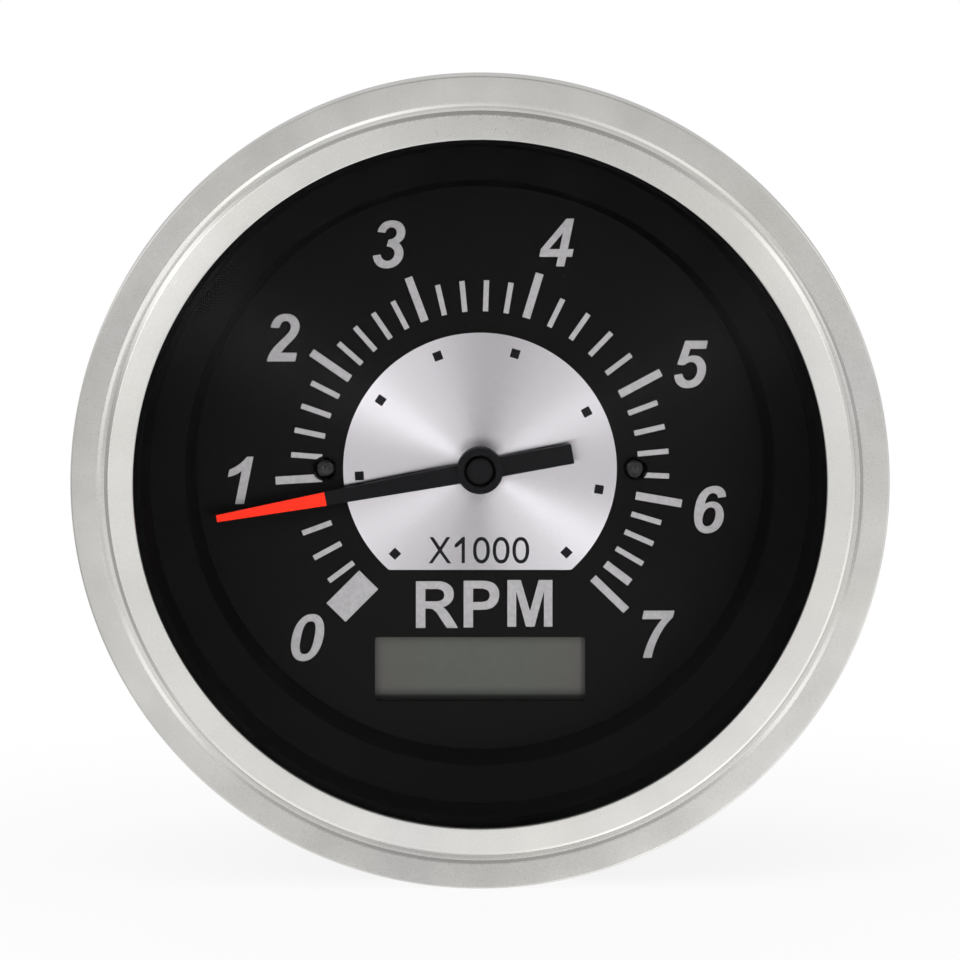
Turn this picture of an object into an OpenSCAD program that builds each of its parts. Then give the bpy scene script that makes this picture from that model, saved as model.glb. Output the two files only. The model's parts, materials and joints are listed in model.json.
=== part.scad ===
// Round panel tachometer with an hour-meter display, stainless bezel and air-core movement.
// The dial faces -Y, twelve o'clock is +Z, and the origin lies on the axis in the panel's front face.
// Pieces are drawn about the Z axis with the dial towards +Z, and facing() turns them into place.

/* [Bezel] */
// Outside diameter of the bezel
bezel_d = 96; // [94:0.5:102]
// Thickness of the bezel's stainless sheet
bezel_sheet = 0.8; // [0.6:0.1:0.9]
// Width of the bezel's face, from its edge in to the lip
face_w = 7.4; // [7:0.1:8.4]
// Radius on the lip's front edge
lip_round = 0.3; // [0.2:0.05:0.4]
// Slope of the inner band in degrees
band_slope = 6; // [4:1:8]
// Distance from the bezel's edge in to the turned groove between the two bands
groove_in = 3.75; // [3.4:0.05:3.9]
// Width of the groove
groove_w = 1.5; // [1.2:0.1:1.6]
// Depth of the groove
groove_deep = 0.3; // [0.2:0.05:0.4]
// Rise of the outer band's edge above the case flange
band_edge_rise = 1.8; // [1.5:0.1:2.1]
// Radius between the outer band and the side of the bezel
shoulder_round = 1.2; // [1:0.1:1.6]
// Radius at the rear edge, where the sheet is rolled over
edge_round = 1; // [0.95:0.05:1.2]
// How far the rolled edge reaches in behind the case flange
crimp_w = 3.4; // [2.5:0.1:4]

/* [Lens and gaskets] */
// Distance from the bezel's edge in to the glass lens
lens_in = 5; // [4.7:0.1:5.5]
// Thickness of the lens
lens_t = 2; // [1.5:0.1:3]
// Thickness of the lens gasket at its outer edge
lens_gasket_t = 0.3; // [0.2:0.05:0.6]
// Thickness of the rubber gasket behind the bezel
panel_gasket_t = 1.2; // [0.8:0.1:2]
// Distance from the bezel's edge in to the panel gasket
panel_gasket_inset = 1.5; // [0.5:0.1:1.8]

/* [Case] */
// Distance from the bezel's edge in to the case barrel, which passes through the panel's hole
barrel_in = 5.6; // [5.3:0.1:5.8]
// Depth of the relief in the barrel between the panel face and the flange
relief_deep = 0.6; // [0.5:0.05:0.7]
// Wall of the barrel
case_wall = 1.6; // [1.2:0.1:1.8]
// Depth of the case behind the panel face
case_depth = 44; // [42:1:60]
// Thickness of the rear wall
rear_wall = 2.4; // [2:0.1:3]
// Thickness of the front flange
flange_t = 3.5; // [3:0.1:4]
// Length of the taper at the rear
taper_l = 8; // [5:0.5:12]
// Inset of the taper at the rear
taper_w = 4.4; // [2:0.2:6]
// Height of the rim round the lens
lens_rim_h = 0.9; // [0.5:0.1:1.1]
// Width of the rim round the lens
lens_rim_w = 0.9; // [0.6:0.1:1]
// Number of ribs that carry the light guide
rib_n = 8; // [6:1:10]
// Width of a rib
rib_w = 2; // [1.2:0.1:3]
// Reach of a rib into the case
rib_reach = 3; // [2:0.1:3.4]

/* [Shroud] */
// Thickness of the shroud's seat flange
shroud_flange_t = 1; // [0.8:0.1:1.2]
// Width of the shroud's seat flange beyond its skirt
shroud_flange_w = 1.2; // [0.8:0.1:1.4]
// Wall of the shroud
shroud_wall = 1.2; // [0.8:0.1:1.5]
// Distance from the bezel's lip in to the top of the shroud
shroud_in = 0.7; // [0.6:0.1:1.1]
// Lean of the shroud's upper wall
upper_lean = 0.8; // [0.6:0.1:1.8]
// Width of the sloping shelf
shelf_w = 4.2; // [3.6:0.1:4.8]
// Lean of the wall below the shelf
lower_lean = 1.1; // [0.7:0.1:1.9]
// Depth of the shelf's outer edge below the lens
shelf_depth = 5.7; // [5:0.1:6.2]
// Fall of the shelf from its outer to its inner edge
shelf_fall = 3; // [2:0.1:3.6]

/* [Dial] */
// Depth of the dial's face behind the panel face
dial_depth = 8.2; // [7.6:0.1:10]
// Thickness of the printed dial sheet
dial_t = 0.5; // [0.4:0.1:1]
// Thickness of the light guide behind the dial
guide_t = 2.5; // [2:0.1:3.5]
// Diameter of the spun aluminium disc
disc_d = 32.6; // [30:0.2:33.6]
// Distance from the axis down to the disc's flat edge
disc_flat = 12.15; // [11:0.05:13.5]
// Thickness of the disc
disc_t = 0.2; // [0.1:0.05:0.3]
// Width of the display window
window_w = 25.1; // [22:0.1:27]
// Height of the display window
window_h = 7.7; // [6.5:0.1:8.2]
// Distance from the axis down to the window's centre
window_drop = 24.15; // [23:0.05:25]
// Radius of the window's corners
window_round = 0.35; // [0.1:0.05:1]
// Clearance from the disc's edge to the head of each dial screw
screw_gap = 0.8; // [0.4:0.1:1.4]
// Head diameter of a dial screw
screw_head_d = 2.8; // [2.4:0.1:3]
// Head height of a dial screw
screw_head_h = 0.9; // [0.7:0.05:1]
// Thread diameter of a dial screw
screw_d = 1.6; // [1.4:0.1:1.8]
// Length of a dial screw under its head
screw_l = 7; // [6:0.2:8]

/* [Scale] */
// Gap from the disc's edge to the inner ends of the marks
tick_gap = 2.55; // [1.7:0.05:3.2]
// Length of a thousand mark
major_l = 5.55; // [4:0.05:6]
// Length of a mark between thousands
minor_l = 3.7; // [2.5:0.05:4]
// Width of a thousand mark
major_w = 0.95; // [0.7:0.05:1.2]
// Width of a mark between thousands
minor_w = 0.63; // [0.4:0.01:0.8]
// Width of the zero block
zero_w = 3.2; // [2:0.1:3.6]
// Distance from the disc's edge in to the printed squares
square_in = 1.9; // [1.3:0.1:3.3]
// Side of a printed square
square_w = 1.05; // [0.8:0.05:1.3]
// Thickness of the printed marks
ink_t = 0.06; // [0.04:0.01:0.1]

/* [Pointer] */
// Clearance from the pointer's tip to the foot of the shroud
tip_gap = 1.95; // [0.8:0.05:5.8]
// Reach of the pointer's tail from the axis
tail_l = 11.2; // [9:0.1:12]
// Diameter of the pointer's hub
hub_d = 5.5; // [5:0.1:7]
// Depth of the hub
hub_t = 2.1; // [1.8:0.1:2.6]
// Width of the arm at the hub and along the tail
arm_w = 2.35; // [1.8:0.05:2.8]
// Width of the arm where the coloured tip begins
arm_mid_w = 1.62; // [1.3:0.02:1.8]
// Width of the arm at its end
arm_end_w = 0.82; // [0.6:0.02:1.2]
// Thickness of the arm
arm_t = 0.7; // [0.5:0.05:0.9]
// Radius at which the coloured tip begins
tip_start = 18.7; // [16:0.1:22]
// Thickness of the coloured tip
tip_t = 0.1; // [0.06:0.02:0.2]
// Clearance from the dial screws to the arm that sweeps over them
arm_clear = 0.5; // [0.4:0.1:1]
// Dial angle of the pointer at rest, in degrees from three o'clock
pointer_angle = 190.4; // [185:0.1:220]

/* [Movement] */
// Diameter of the pointer shaft
shaft_d = 1.2; // [1:0.1:1.5]
// Diameter of the rotor magnet
magnet_d = 8.8; // [7:0.1:9]
// Thickness of the rotor magnet
magnet_t = 3; // [2.5:0.1:3.4]
// Diameter of the bobbin
bobbin_d = 16.4; // [16:0.1:17]
// Distance across the bobbin's winding flats
bobbin_flat = 13.2; // [13:0.1:13.4]
// Thickness of the bobbin's end walls
bobbin_end = 1.4; // [1.2:0.1:1.8]
// Thickness of one winding
coil_t = 0.6; // [0.4:0.05:0.7]
// Width of one half of a winding
coil_w = 2.8; // [2:0.1:3]
// Gap between the halves of a winding, for the bearing
coil_gap = 3.6; // [3.4:0.1:4]
// Wall of the steel can
can_wall = 0.8; // [0.5:0.1:1]
// Thickness of the movement frame
frame_t = 1.8; // [1.5:0.1:2.5]
// Width of the movement frame
frame_w = 12; // [10:0.5:14]
// Diameter of a screw boss under the frame
boss_d = 5.2; // [4:0.1:6]
// Diameter of a coil pin
coil_pin_d = 0.8; // [0.6:0.1:1]

/* [Circuit board and display] */
// Thickness of the circuit board
board_t = 1.6; // [1.2:0.1:2]
// Distance from the case's bore in to the edge of the circuit board
board_in = 3.6; // [3.3:0.1:4.3]
// Width of the display glass
lcd_w = 29; // [28:0.2:30]
// Height of the display glass
lcd_h = 11; // [10:0.2:12]
// Thickness of the display glass
lcd_t = 2.4; // [1.8:0.1:2.8]
// Wall of the display holder
holder_wall = 1; // [0.8:0.1:1.2]
// Width of a contact strip under the display glass
strip_w = 1.6; // [1.2:0.1:1.8]
// Distance from the board's edge in to the circle of backlight lamps
lamp_in = 4.2; // [3.2:0.1:4.7]
// Distance from the board's edge in to each board screw
board_screw_in = 6.2; // [5.2:0.1:7.2]
// Diameter of a post that carries the board
post_d = 6.4; // [5.5:0.1:7]
// Thread diameter of a board screw
board_screw_d = 2.5; // [2:0.1:3]
// Length of a board screw under its head
board_screw_l = 8; // [6:0.5:10]

/* [Rear connections] */
// Thread diameter of a terminal stud
terminal_d = 4; // [3.5:0.1:5]
// Distance from the axis to each terminal stud
terminal_r = 24; // [23.5:0.1:26]
// Angle between neighbouring terminal studs
terminal_step = 28; // [27:0.5:30]
// Distance across flats of a terminal nut
terminal_flats = 7; // [6.8:0.1:7.4]
// Height of a terminal nut
terminal_nut_h = 3.2; // [2.4:0.1:4]
// Thickness of a terminal washer
washer_t = 0.8; // [0.5:0.1:1.2]
// Diameter of a terminal washer
washer_d = 9; // [8.6:0.1:9.2]
// Reach of a terminal stud beyond the rear face
terminal_reach = 14; // [12:0.5:18]
// Thread diameter of a mounting stud
mount_stud_d = 5; // [4:0.1:6]
// How much thicker a mounting stud's shank is than its thread, on the radius
shank_step = 0.3; // [0.2:0.05:0.5]
// Distance from the barrel in to each mounting stud
mount_stud_in = 14.4; // [13.4:0.1:16.4]
// Reach of a mounting stud beyond the rear face
mount_stud_reach = 18; // [15:0.5:22]
// Height of the pads round the studs on the rear face
pad_h = 1.2; // [0.8:0.1:2]
// Height of the barriers between the terminals
barrier_h = 4; // [3:0.5:6]
// Distance from the axis down to the selector knob
selector_drop = 20; // [18:0.5:21]
// Diameter of the selector knob
selector_d = 9; // [8:0.1:10]
// Thickness of the selector knob
selector_t = 3.2; // [2.6:0.1:3.4]
// Diameter of the selector's stem
stem_d = 4; // [3.5:0.1:5]
// Depth of the well that the selector knob sits in
well_depth = 4.2; // [4:0.1:5]

/* [Fits] */
// Clearance between pieces that drop into each other
fit = 0.2; // [0.15:0.05:0.25]
// Radial clearance of a shaft that turns in its bearing
running_fit = 0.03; // [0.02:0.01:0.05]
// Radial clearance of a thread in its hole
thread_fit = 0.05; // [0.03:0.01:0.1]
// Clearance round pieces that move
air = 0.4; // [0.3:0.05:0.5]

/* [Hidden] */
$fn = 96;
eps = 0.05;

// Dial angle of each thousand mark, uneven as an air-core movement makes it
thousand_angles = [225.2, 183.4, 145.2, 110.4, 73.1, 28.2, -9.9, -44.3];
// Marks from one thousand to the next, counting the thousand itself
marks_per_thousand = 5;
// Number of terminal studs
terminal_n = 4;
// Dial angles of the selector's settings
setting_angles = [-90, -60, -30, 0];
// Dial angles of the lamps and of the board posts
lamp_angles = [0, 60, 120, 180, 198, 342];
post_angles = [215, 325];

// Levels from the panel face towards the front
z_flange_back = panel_gasket_t + bezel_sheet;
z_seat = z_flange_back + flange_t;
z_lens = z_seat + lens_t;
// Levels from the panel face towards the rear
z_dial = -dial_depth;
z_guide = z_dial - dial_t;
z_frame = z_guide - guide_t;
z_coils = z_frame - frame_t;
coil_space = 2 * coil_t + air;
z_bobbin = z_coils - coil_space;
bobbin_half = bobbin_end + (magnet_t + 2 * air) / 2;
z_split = z_bobbin - bobbin_half;
z_bobbin_end = z_split - bobbin_half;
z_can_floor = z_bobbin_end - coil_space;
z_board = z_can_floor - can_wall;
z_board_back = z_board - board_t;
z_rear = -case_depth;
z_rear_in = z_rear + rear_wall;
z_pad = z_rear - pad_h;

// Radii that the pieces share
bezel_r = bezel_d / 2;
lip_r = bezel_r - face_w;
lens_r = bezel_r - lens_in;
groove_r = bezel_r - groove_in;
barrel_r = bezel_r - barrel_in;
relief_r = barrel_r - relief_deep;
bore_r = barrel_r - case_wall;
flange_r = bezel_r - bezel_sheet - fit / 2;
skirt_r = bore_r - fit;
stack_r = bore_r - fit * 2;
shroud_top_r = lip_r - shroud_in;
shelf_out_r = shroud_top_r - upper_lean;
shelf_in_r = shelf_out_r - shelf_w;
foot_r = shelf_in_r - lower_lean;
pointer_l = foot_r - tip_gap;
disc_r = disc_d / 2;
screw_r = disc_r + screw_gap + screw_head_d / 2;
tick_r = disc_r + tick_gap;
square_r = disc_r - square_in;
board_r = bore_r - board_in;
lamp_r = board_r - lamp_in;
post_r = board_r - board_screw_in;
shank_r = mount_stud_d / 2 + shank_step;
shaft_r = shaft_d / 2;
bearing_r = shaft_r + running_fit;
tube_r = bearing_r + 1;
shaft_hole_r = tube_r + fit;
coil_in = bobbin_flat / 2 + fit / 2;
coil_edge = coil_gap / 2 + coil_w;
can_bore_r = max(bobbin_d / 2, norm([coil_in + coil_t, coil_edge])) + fit;
can_r = can_bore_r + can_wall;

// Bezel heights, worked up from the lens
lip_drop = bezel_sheet / cos(band_slope);
bezel_h = z_lens + lens_gasket_t + lip_drop + (lens_r - lip_r) * tan(band_slope);
function band_z(r) = bezel_h - (r - lip_r) * tan(band_slope);
band_edge_z = z_seat + band_edge_rise;
outer_slope = atan((band_z(groove_r) - band_edge_z) / (bezel_r - groove_r));
function outer_band_z(r) = band_z(groove_r) - (r - groove_r) * tan(outer_slope);

// Pointer heights, worked up from the screw heads
z_arm = z_dial + screw_head_h + arm_clear;
z_tip = z_arm + arm_t;
z_hub = z_dial + disc_t + air;
z_shaft_end = z_bobbin_end + bobbin_end / 3;
z_shaft_top = z_hub + hub_t * 0.7;

// Places of the larger components, measured in from the board's edge
chip_place = [12.2 - board_r, 7, 0];
capacitor_place = [board_r - 11.2, 10, 0];
regulator_place = [board_r - 12.2, -6, 0];

// Display heights and sizes
z_display = z_guide - air;
z_display_back = z_display - lcd_t;
holder_w = lcd_w - fit * 2;
holder_h = lcd_h - fit * 2;

// Rear sizes
terminal_start = 90 - terminal_step * (terminal_n - 1) / 2;
z_well = z_rear + well_depth;
well_r = selector_d / 2 + air;
well_wall = 1.4;
switch_w = 10;
switch_t = 6;
z_switch = z_board_back - switch_t;

// One rounded corner: the arc of radius r that touches the two lines a-b and b-c
function corner(a, b, c, r, n = 5) =
    let (u = (a - b) / norm(a - b), v = (c - b) / norm(c - b))
    let (half = acos(u * v) / 2, m = (u + v) / norm(u + v))
    let (o = b + m * r / sin(half), p = b + u * r / tan(half), q = b + v * r / tan(half))
    let (a0 = atan2(p[1] - o[1], p[0] - o[0]), a1 = atan2(q[1] - o[1], q[0] - o[0]))
    let (turn = (a1 - a0 + 540) % 360 - 180)
    [for (i = [0:n]) o + r * [cos(a0 + turn * i / n), sin(a0 + turn * i / n)]];

// A closed outline from corners given as [x, y, radius]
function outline(p) = [
    for (i = [0:len(p) - 1])
        let (a = p[(i + len(p) - 1) % len(p)], b = p[i], c = p[(i + 1) % len(p)])
        for (q = b[2] > 0 ? corner([a[0], a[1]], [b[0], b[1]], [c[0], c[1]], b[2]) : [[b[0], b[1]]]) q
];

// Turns a piece drawn about Z so that its front faces -Y
module facing() {
    rotate([90, 0, 0]) children();
}

// A turned piece from corners given as [radius, height, corner radius]
module turned(p) {
    rotate_extrude() polygon(outline(p));
}

// A cylinder between two levels
module rod(r, z0, z1) {
    translate([0, 0, min(z0, z1)]) cylinder(r = r, h = abs(z1 - z0));
}

// A hexagonal prism between two levels
module hex(flats, z0, z1) {
    translate([0, 0, min(z0, z1)]) cylinder(r = flats / 2 / cos(30), h = abs(z1 - z0), $fn = 6);
}

// A block centred on the axis between two levels
module block(w, h, z0, z1) {
    translate([-w / 2, -h / 2, min(z0, z1)]) cube([w, h, abs(z1 - z0)]);
}

// A ring between two levels
module ring(r_out, r_in, z0, z1) {
    difference() {
        rod(r_out, z0, z1);
        rod(r_in, min(z0, z1) - eps, max(z0, z1) + eps);
    }
}

// Copies at a dial angle and radius, turned to face outwards
module at_dial(angles, r) {
    for (a = angles) rotate([0, 0, a]) translate([r, 0, 0]) children();
}

module at_terminals() {
    at_dial([for (i = [0:terminal_n - 1]) terminal_start + terminal_step * i], terminal_r) children();
}

module at_mount_studs() {
    at_dial([0, 180], barrel_r - mount_stud_in) children();
}

module at_selector() {
    translate([0, -selector_drop, 0]) children();
}

module at_window() {
    translate([0, -window_drop, 0]) children();
}

// Rolled stainless ring: sloping inner band, turned groove, outer band, side and rolled rear edge
module bezel() {
    groove_steps = 10;
    r_out = groove_r + groove_w / 2;
    z_out = outer_band_z(r_out);
    rise = band_z(groove_r - groove_w / 2) - z_out;
    groove = [
        for (i = [0:groove_steps])
            let (t = i / groove_steps, dip = groove_deep * (1 - cos(360 * t)) / 2)
            [r_out - groove_w * t, z_out + rise * t - dip, 0]
    ];
    in_r = bezel_r - bezel_sheet;
    in_z = outer_band_z(in_r) - bezel_sheet / cos(outer_slope);
    color("silver") facing() turned(concat(
        [
            [bezel_r - crimp_w, panel_gasket_t, 0],
            [bezel_r, panel_gasket_t, edge_round],
            [bezel_r, band_edge_z, shoulder_round]
        ],
        groove,
        [
            [lip_r, bezel_h, lip_round],
            [lip_r, bezel_h - lip_drop, 0],
            [groove_r, band_z(groove_r) - lip_drop, 0],
            [in_r, in_z, shoulder_round - bezel_sheet],
            [in_r, z_flange_back, edge_round - bezel_sheet],
            [bezel_r - crimp_w, z_flange_back, 0]
        ]
    ));
}

// Flat glass disc with its edges eased
module lens() {
    ease = 0.2;
    color("lightcyan", 0.3) facing() turned([
        [0, z_seat, 0],
        [lens_r, z_seat, ease],
        [lens_r, z_lens, ease],
        [0, z_lens, 0]
    ]);
}

// Wedge ring of rubber between the lens and the sloping lip
module lens_gasket() {
    r_in = lip_r + fit;
    r_out = lens_r - fit;
    slack = thread_fit;
    color("black") facing() turned([
        [r_in, z_lens, 0],
        [r_out, z_lens, 0],
        [r_out, band_z(r_out) - lip_drop - slack, 0],
        [r_in, band_z(r_in) - lip_drop - slack, 0]
    ]);
}

// Rubber ring between the rolled edge and the panel
module panel_gasket() {
    color("black") facing() ring(bezel_r - panel_gasket_inset, barrel_r + fit, 0, panel_gasket_t);
}

// Moulded can: front flange, relief, barrel, tapered rear, light-guide ribs, board posts and stud pads
module case() {
    rim_in = lens_r + fit;
    rear_r = barrel_r - taper_w;
    z_taper = z_rear + taper_l;
    edge = 0.6;
    color("#1c1c1e") facing() difference() {
        union() {
            turned([
                [0, z_rear, 0],
                [rear_r, z_rear, edge],
                [barrel_r, z_taper, 0],
                [barrel_r, 0, 0],
                [relief_r, 0, 0],
                [relief_r, z_flange_back, 0],
                [flange_r, z_flange_back, edge],
                [flange_r, z_seat, edge / 2],
                [rim_in + lens_rim_w, z_seat, 0],
                [rim_in + lens_rim_w, z_seat + lens_rim_h, 0],
                [rim_in, z_seat + lens_rim_h, 0],
                [rim_in, z_seat, 0],
                [skirt_r + shroud_flange_w + fit, z_seat, 0],
                [skirt_r + shroud_flange_w + fit, z_seat - shroud_flange_t, 0],
                [bore_r, z_seat - shroud_flange_t, 0],
                [bore_r, z_taper, 0],
                [rear_r - case_wall, z_rear_in, edge],
                [0, z_rear_in, 0]
            ]);
            case_ribs();
            board_posts();
            rear_pads();
        }
        at_terminals() rod(terminal_d / 2 + thread_fit, z_pad - eps, z_rear_in + eps);
        at_mount_studs() rod(shank_r + thread_fit, z_pad - eps, z_rear_in + eps);
        at_selector() rod(well_r, z_rear - eps, z_well);
        at_selector() rod(stem_d / 2 + running_fit, z_well - eps, z_well + well_wall + eps);
    }
}

// Ribs up the inside of the barrel, with the light guide resting on their ends
module case_ribs() {
    rib_out = bore_r + case_wall / 2;
    rib_in = bore_r - rib_reach;
    intersection() {
        at_dial([for (i = [0:rib_n - 1]) (i + 0.5) * 360 / rib_n], (rib_out + rib_in) / 2)
            block(rib_out - rib_in, rib_w, z_rear_in - eps, z_frame);
        turned([
            [0, z_rear + rear_wall / 2, 0],
            [barrel_r - taper_w - case_wall / 2, z_rear + rear_wall / 2, 0],
            [rib_out, z_rear + taper_l, 0],
            [rib_out, z_frame + eps, 0],
            [0, z_frame + eps, 0]
        ]);
    }
}

// Posts that carry the circuit board, drilled for its screws
module board_posts() {
    difference() {
        at_dial(post_angles, post_r) rod(post_d / 2, z_rear_in - eps, z_board_back);
        at_dial(post_angles, post_r)
            rod(board_screw_d / 2 + thread_fit, z_board - board_screw_l - air, z_board_back + eps);
    }
}

// Raised pads and barriers on the rear face, and the wall of the selector's well
module rear_pads() {
    pad_w = washer_d + 2;
    barrier_w = 1.2;
    mark_l = 1.6;
    mark_w = 0.6;
    z_barrier = z_rear - barrier_h;
    at_terminals() rod(pad_w / 2, z_pad, z_rear + eps);
    at_dial([for (i = [0:terminal_n]) terminal_start + terminal_step * (i - 0.5)], terminal_r)
        block(pad_w, barrier_w, z_barrier, z_rear + eps);
    at_mount_studs() rod(mount_stud_d + pad_h, z_pad, z_rear + eps);
    at_selector() rod(well_r + well_wall, z_rear_in - eps, z_well + well_wall);
    at_selector() at_dial(setting_angles, well_r + mark_l)
        block(mark_l, mark_w, z_rear - pad_h / 3, z_rear + eps);
}

// Black stepped wall between the lens and the dial: seat flange, skirt, sloping shelf and foot
module shroud_ring() {
    z_out = z_seat - shelf_depth;
    z_in = z_out - shelf_fall;
    blend = 0.5;
    color("#141414") facing() turned([
        [shroud_top_r, z_seat, 0],
        [skirt_r + shroud_flange_w, z_seat, 0],
        [skirt_r + shroud_flange_w, z_seat - shroud_flange_t, 0],
        [skirt_r, z_seat - shroud_flange_t, 0],
        [skirt_r, z_dial, 0],
        [skirt_r - shroud_wall, z_dial, 0],
        [skirt_r - shroud_wall, z_out - shroud_wall * 1.2, 0],
        [shelf_in_r + shroud_wall, z_in - shroud_wall * 1.2, 0],
        [foot_r + shroud_wall, z_dial + fit, 0],
        [foot_r, z_dial + fit, 0],
        [shelf_in_r, z_in, blend],
        [shelf_out_r, z_out, blend]
    ]);
}

// Holes that the dial and the light guide share
module dial_holes(z0, z1) {
    rod(shaft_hole_r, z0, z1);
    at_dial([0, 180], screw_r) rod(screw_d / 2 + fit, z0, z1);
}

// Black printed sheet with the display window
module dial() {
    x = window_w / 2;
    y = window_h / 2;
    window = outline([for (c = [[-x, -y], [x, -y], [x, y], [-x, y]]) [c[0], c[1], window_round]]);
    color("#1e1e1e") facing() difference() {
        rod(stack_r, z_guide, z_dial);
        dial_holes(z_guide - eps, z_dial + eps);
        at_window() translate([0, 0, z_guide - eps]) linear_extrude(dial_t + 2 * eps) polygon(window);
    }
}

// Clear plate that spreads the lamp light behind the dial, open where the display stands in it
module light_guide() {
    color("whitesmoke") facing() difference() {
        rod(stack_r, z_frame, z_guide);
        dial_holes(z_frame - eps, z_guide + eps);
        at_window() block(lcd_w + 2 * air, lcd_h + 2 * air, z_frame - eps, z_guide + eps);
    }
}

// Spun aluminium disc with a flat lower edge
module dial_disc() {
    color("gainsboro") facing() difference() {
        rod(disc_r, z_dial, z_dial + disc_t);
        rod(shaft_hole_r, z_dial - eps, z_dial + disc_t + eps);
        translate([0, -disc_flat - disc_r, 0]) block(disc_d, disc_d, z_dial - eps, z_dial + disc_t + eps);
    }
}

// One radial mark that begins at the common radius
module tick(angle, l, w) {
    rotate([0, 0, angle]) translate([tick_r + l / 2, 0, 0]) block(l, w, z_dial, z_dial + ink_t);
}

// Grey marks: a block at zero, a long mark at each thousand and short marks between
module scale_marks() {
    last = len(thousand_angles) - 1;
    color("darkgray") facing() difference() {
        union() {
            for (i = [0:last]) tick(thousand_angles[i], major_l, i == 0 ? zero_w : major_w);
            for (i = [0:last - 1], k = [1:marks_per_thousand - 1]) {
                from = thousand_angles[i];
                to = thousand_angles[i + 1];
                final_mark = i == last - 1 && k == marks_per_thousand - 1;
                tick(from + (to - from) * k / marks_per_thousand, minor_l, final_mark ? major_w : minor_w);
            }
        }
        at_dial([0, 180], screw_r) rod(screw_head_d / 2 + fit / 2, z_dial - eps, z_dial + ink_t + eps);
    }
}

// Black squares on the disc, one for each thousand
module disc_marks() {
    z = z_dial + disc_t;
    color("black") facing() at_dial(thousand_angles, square_r) block(square_w, square_w, z, z + ink_t);
}

// Domed cross-head screws through the dial into the movement frame
module dial_screws() {
    head_r = screw_head_d / 2;
    dome_r = (head_r * head_r + screw_head_h * screw_head_h) / (2 * screw_head_h);
    slot_w = 0.4;
    slot_z = z_dial + screw_head_h / 2;
    color("#111111") facing() at_dial([0, 180], screw_r) {
        difference() {
            union() {
                intersection() {
                    translate([0, 0, z_dial + screw_head_h - dome_r]) sphere(r = dome_r);
                    rod(head_r, z_dial, z_dial + screw_head_h);
                }
                rod(screw_d / 2, z_dial - screw_l, z_dial + eps);
            }
            block(head_r * 1.2, slot_w, slot_z, z_dial + 2 * screw_head_h);
            block(slot_w, head_r * 1.2, slot_z, z_dial + 2 * screw_head_h);
        }
    }
}

// Pointer: tapering arm, blunt tail and a hub with a turned ring, bored for the shaft
module pointer() {
    ring_r = hub_d / 2 * 0.62;
    ring_w = 0.35;
    color("#18181a") facing() rotate([0, 0, pointer_angle]) difference() {
        union() {
            translate([0, 0, z_arm]) linear_extrude(arm_t) polygon([
                [-tail_l, -arm_w / 2],
                [0, -arm_w / 2],
                [tip_start, -arm_mid_w / 2],
                [pointer_l, -arm_end_w / 2],
                [pointer_l, arm_end_w / 2],
                [tip_start, arm_mid_w / 2],
                [0, arm_w / 2],
                [-tail_l, arm_w / 2]
            ]);
            rod(hub_d / 2, z_hub, z_hub + hub_t);
        }
        ring(ring_r + ring_w / 2, ring_r - ring_w / 2, z_hub + hub_t - ring_w, z_hub + hub_t + eps);
        rod(shaft_r + running_fit / 2, z_hub - eps, z_shaft_top + running_fit);
    }
}

// Coloured cap on the outer end of the arm
module pointer_tip() {
    color("orangered") facing() rotate([0, 0, pointer_angle])
        translate([0, 0, z_tip]) linear_extrude(tip_t) polygon([
            [tip_start, -arm_mid_w / 2],
            [pointer_l, -arm_end_w / 2],
            [pointer_l, arm_end_w / 2],
            [tip_start, arm_mid_w / 2]
        ]);
}

// Steel shaft from the lower bearing to the pointer's hub
module pointer_shaft() {
    color("silver") facing() rod(shaft_r, z_shaft_end, z_shaft_top);
}

// Disc magnet fixed on the shaft
module rotor_magnet() {
    color("dimgray") facing()
        ring(magnet_d / 2, shaft_r + running_fit / 2, z_split - magnet_t / 2, z_split + magnet_t / 2);
}

// Moulded bridge that hangs the movement from the dial screws and holds the upper bearing
module movement_frame() {
    color("ivory") facing() difference() {
        union() {
            block(2 * screw_r, frame_w, z_coils, z_frame);
            at_dial([0, 180], screw_r) rod(frame_w / 2, z_coils, z_frame);
            at_dial([0, 180], screw_r) rod(boss_d / 2, z_dial - screw_l, z_frame);
            rod(tube_r, z_frame - eps, z_guide);
        }
        rod(bearing_r, z_coils - eps, z_guide + eps);
        at_dial([0, 180], screw_r) rod(screw_d / 2 + thread_fit, z_dial - screw_l - eps, z_frame + eps);
        at_coil_pins() rod(coil_pin_d / 2 + thread_fit, z_coils - eps, z_frame - frame_t / 2);
    }
}

// Places of the coil pins, outside the can and under the frame
module at_coil_pins() {
    for (sx = [-1, 1], sy = [-1, 1])
        translate([sx * (can_r + 2 * coil_pin_d), sy * frame_w / 4, 0]) children();
}

// Winding former: a disc with four flats and corner posts that leave paths for the crossed coils
module bobbin_half_shape(z_face, z_end, z_seat_face) {
    post_in = coil_edge + fit;
    post_w = bobbin_flat / 2 - post_in;
    post_at = post_in + post_w / 2;
    intersection() {
        union() {
            rod(bobbin_d / 2, z_face, z_end);
            for (sx = [-1, 1], sy = [-1, 1])
                translate([sx * post_at, sy * post_at, 0]) block(post_w, post_w, z_end, z_seat_face);
            rod(tube_r, z_end, z_seat_face);
        }
        block(bobbin_flat, bobbin_flat, z_face, z_seat_face);
        rod(bobbin_d / 2, z_face, z_seat_face);
    }
}

// Upper half of the bobbin, with the upper part of the rotor's chamber
module bobbin_top() {
    chamber_r = magnet_d / 2 + air;
    color("burlywood") facing() difference() {
        bobbin_half_shape(z_split, z_bobbin, z_coils);
        rod(chamber_r, z_split - eps, z_bobbin - bobbin_end);
        rod(bearing_r, z_split - eps, z_coils + eps);
    }
}

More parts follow.
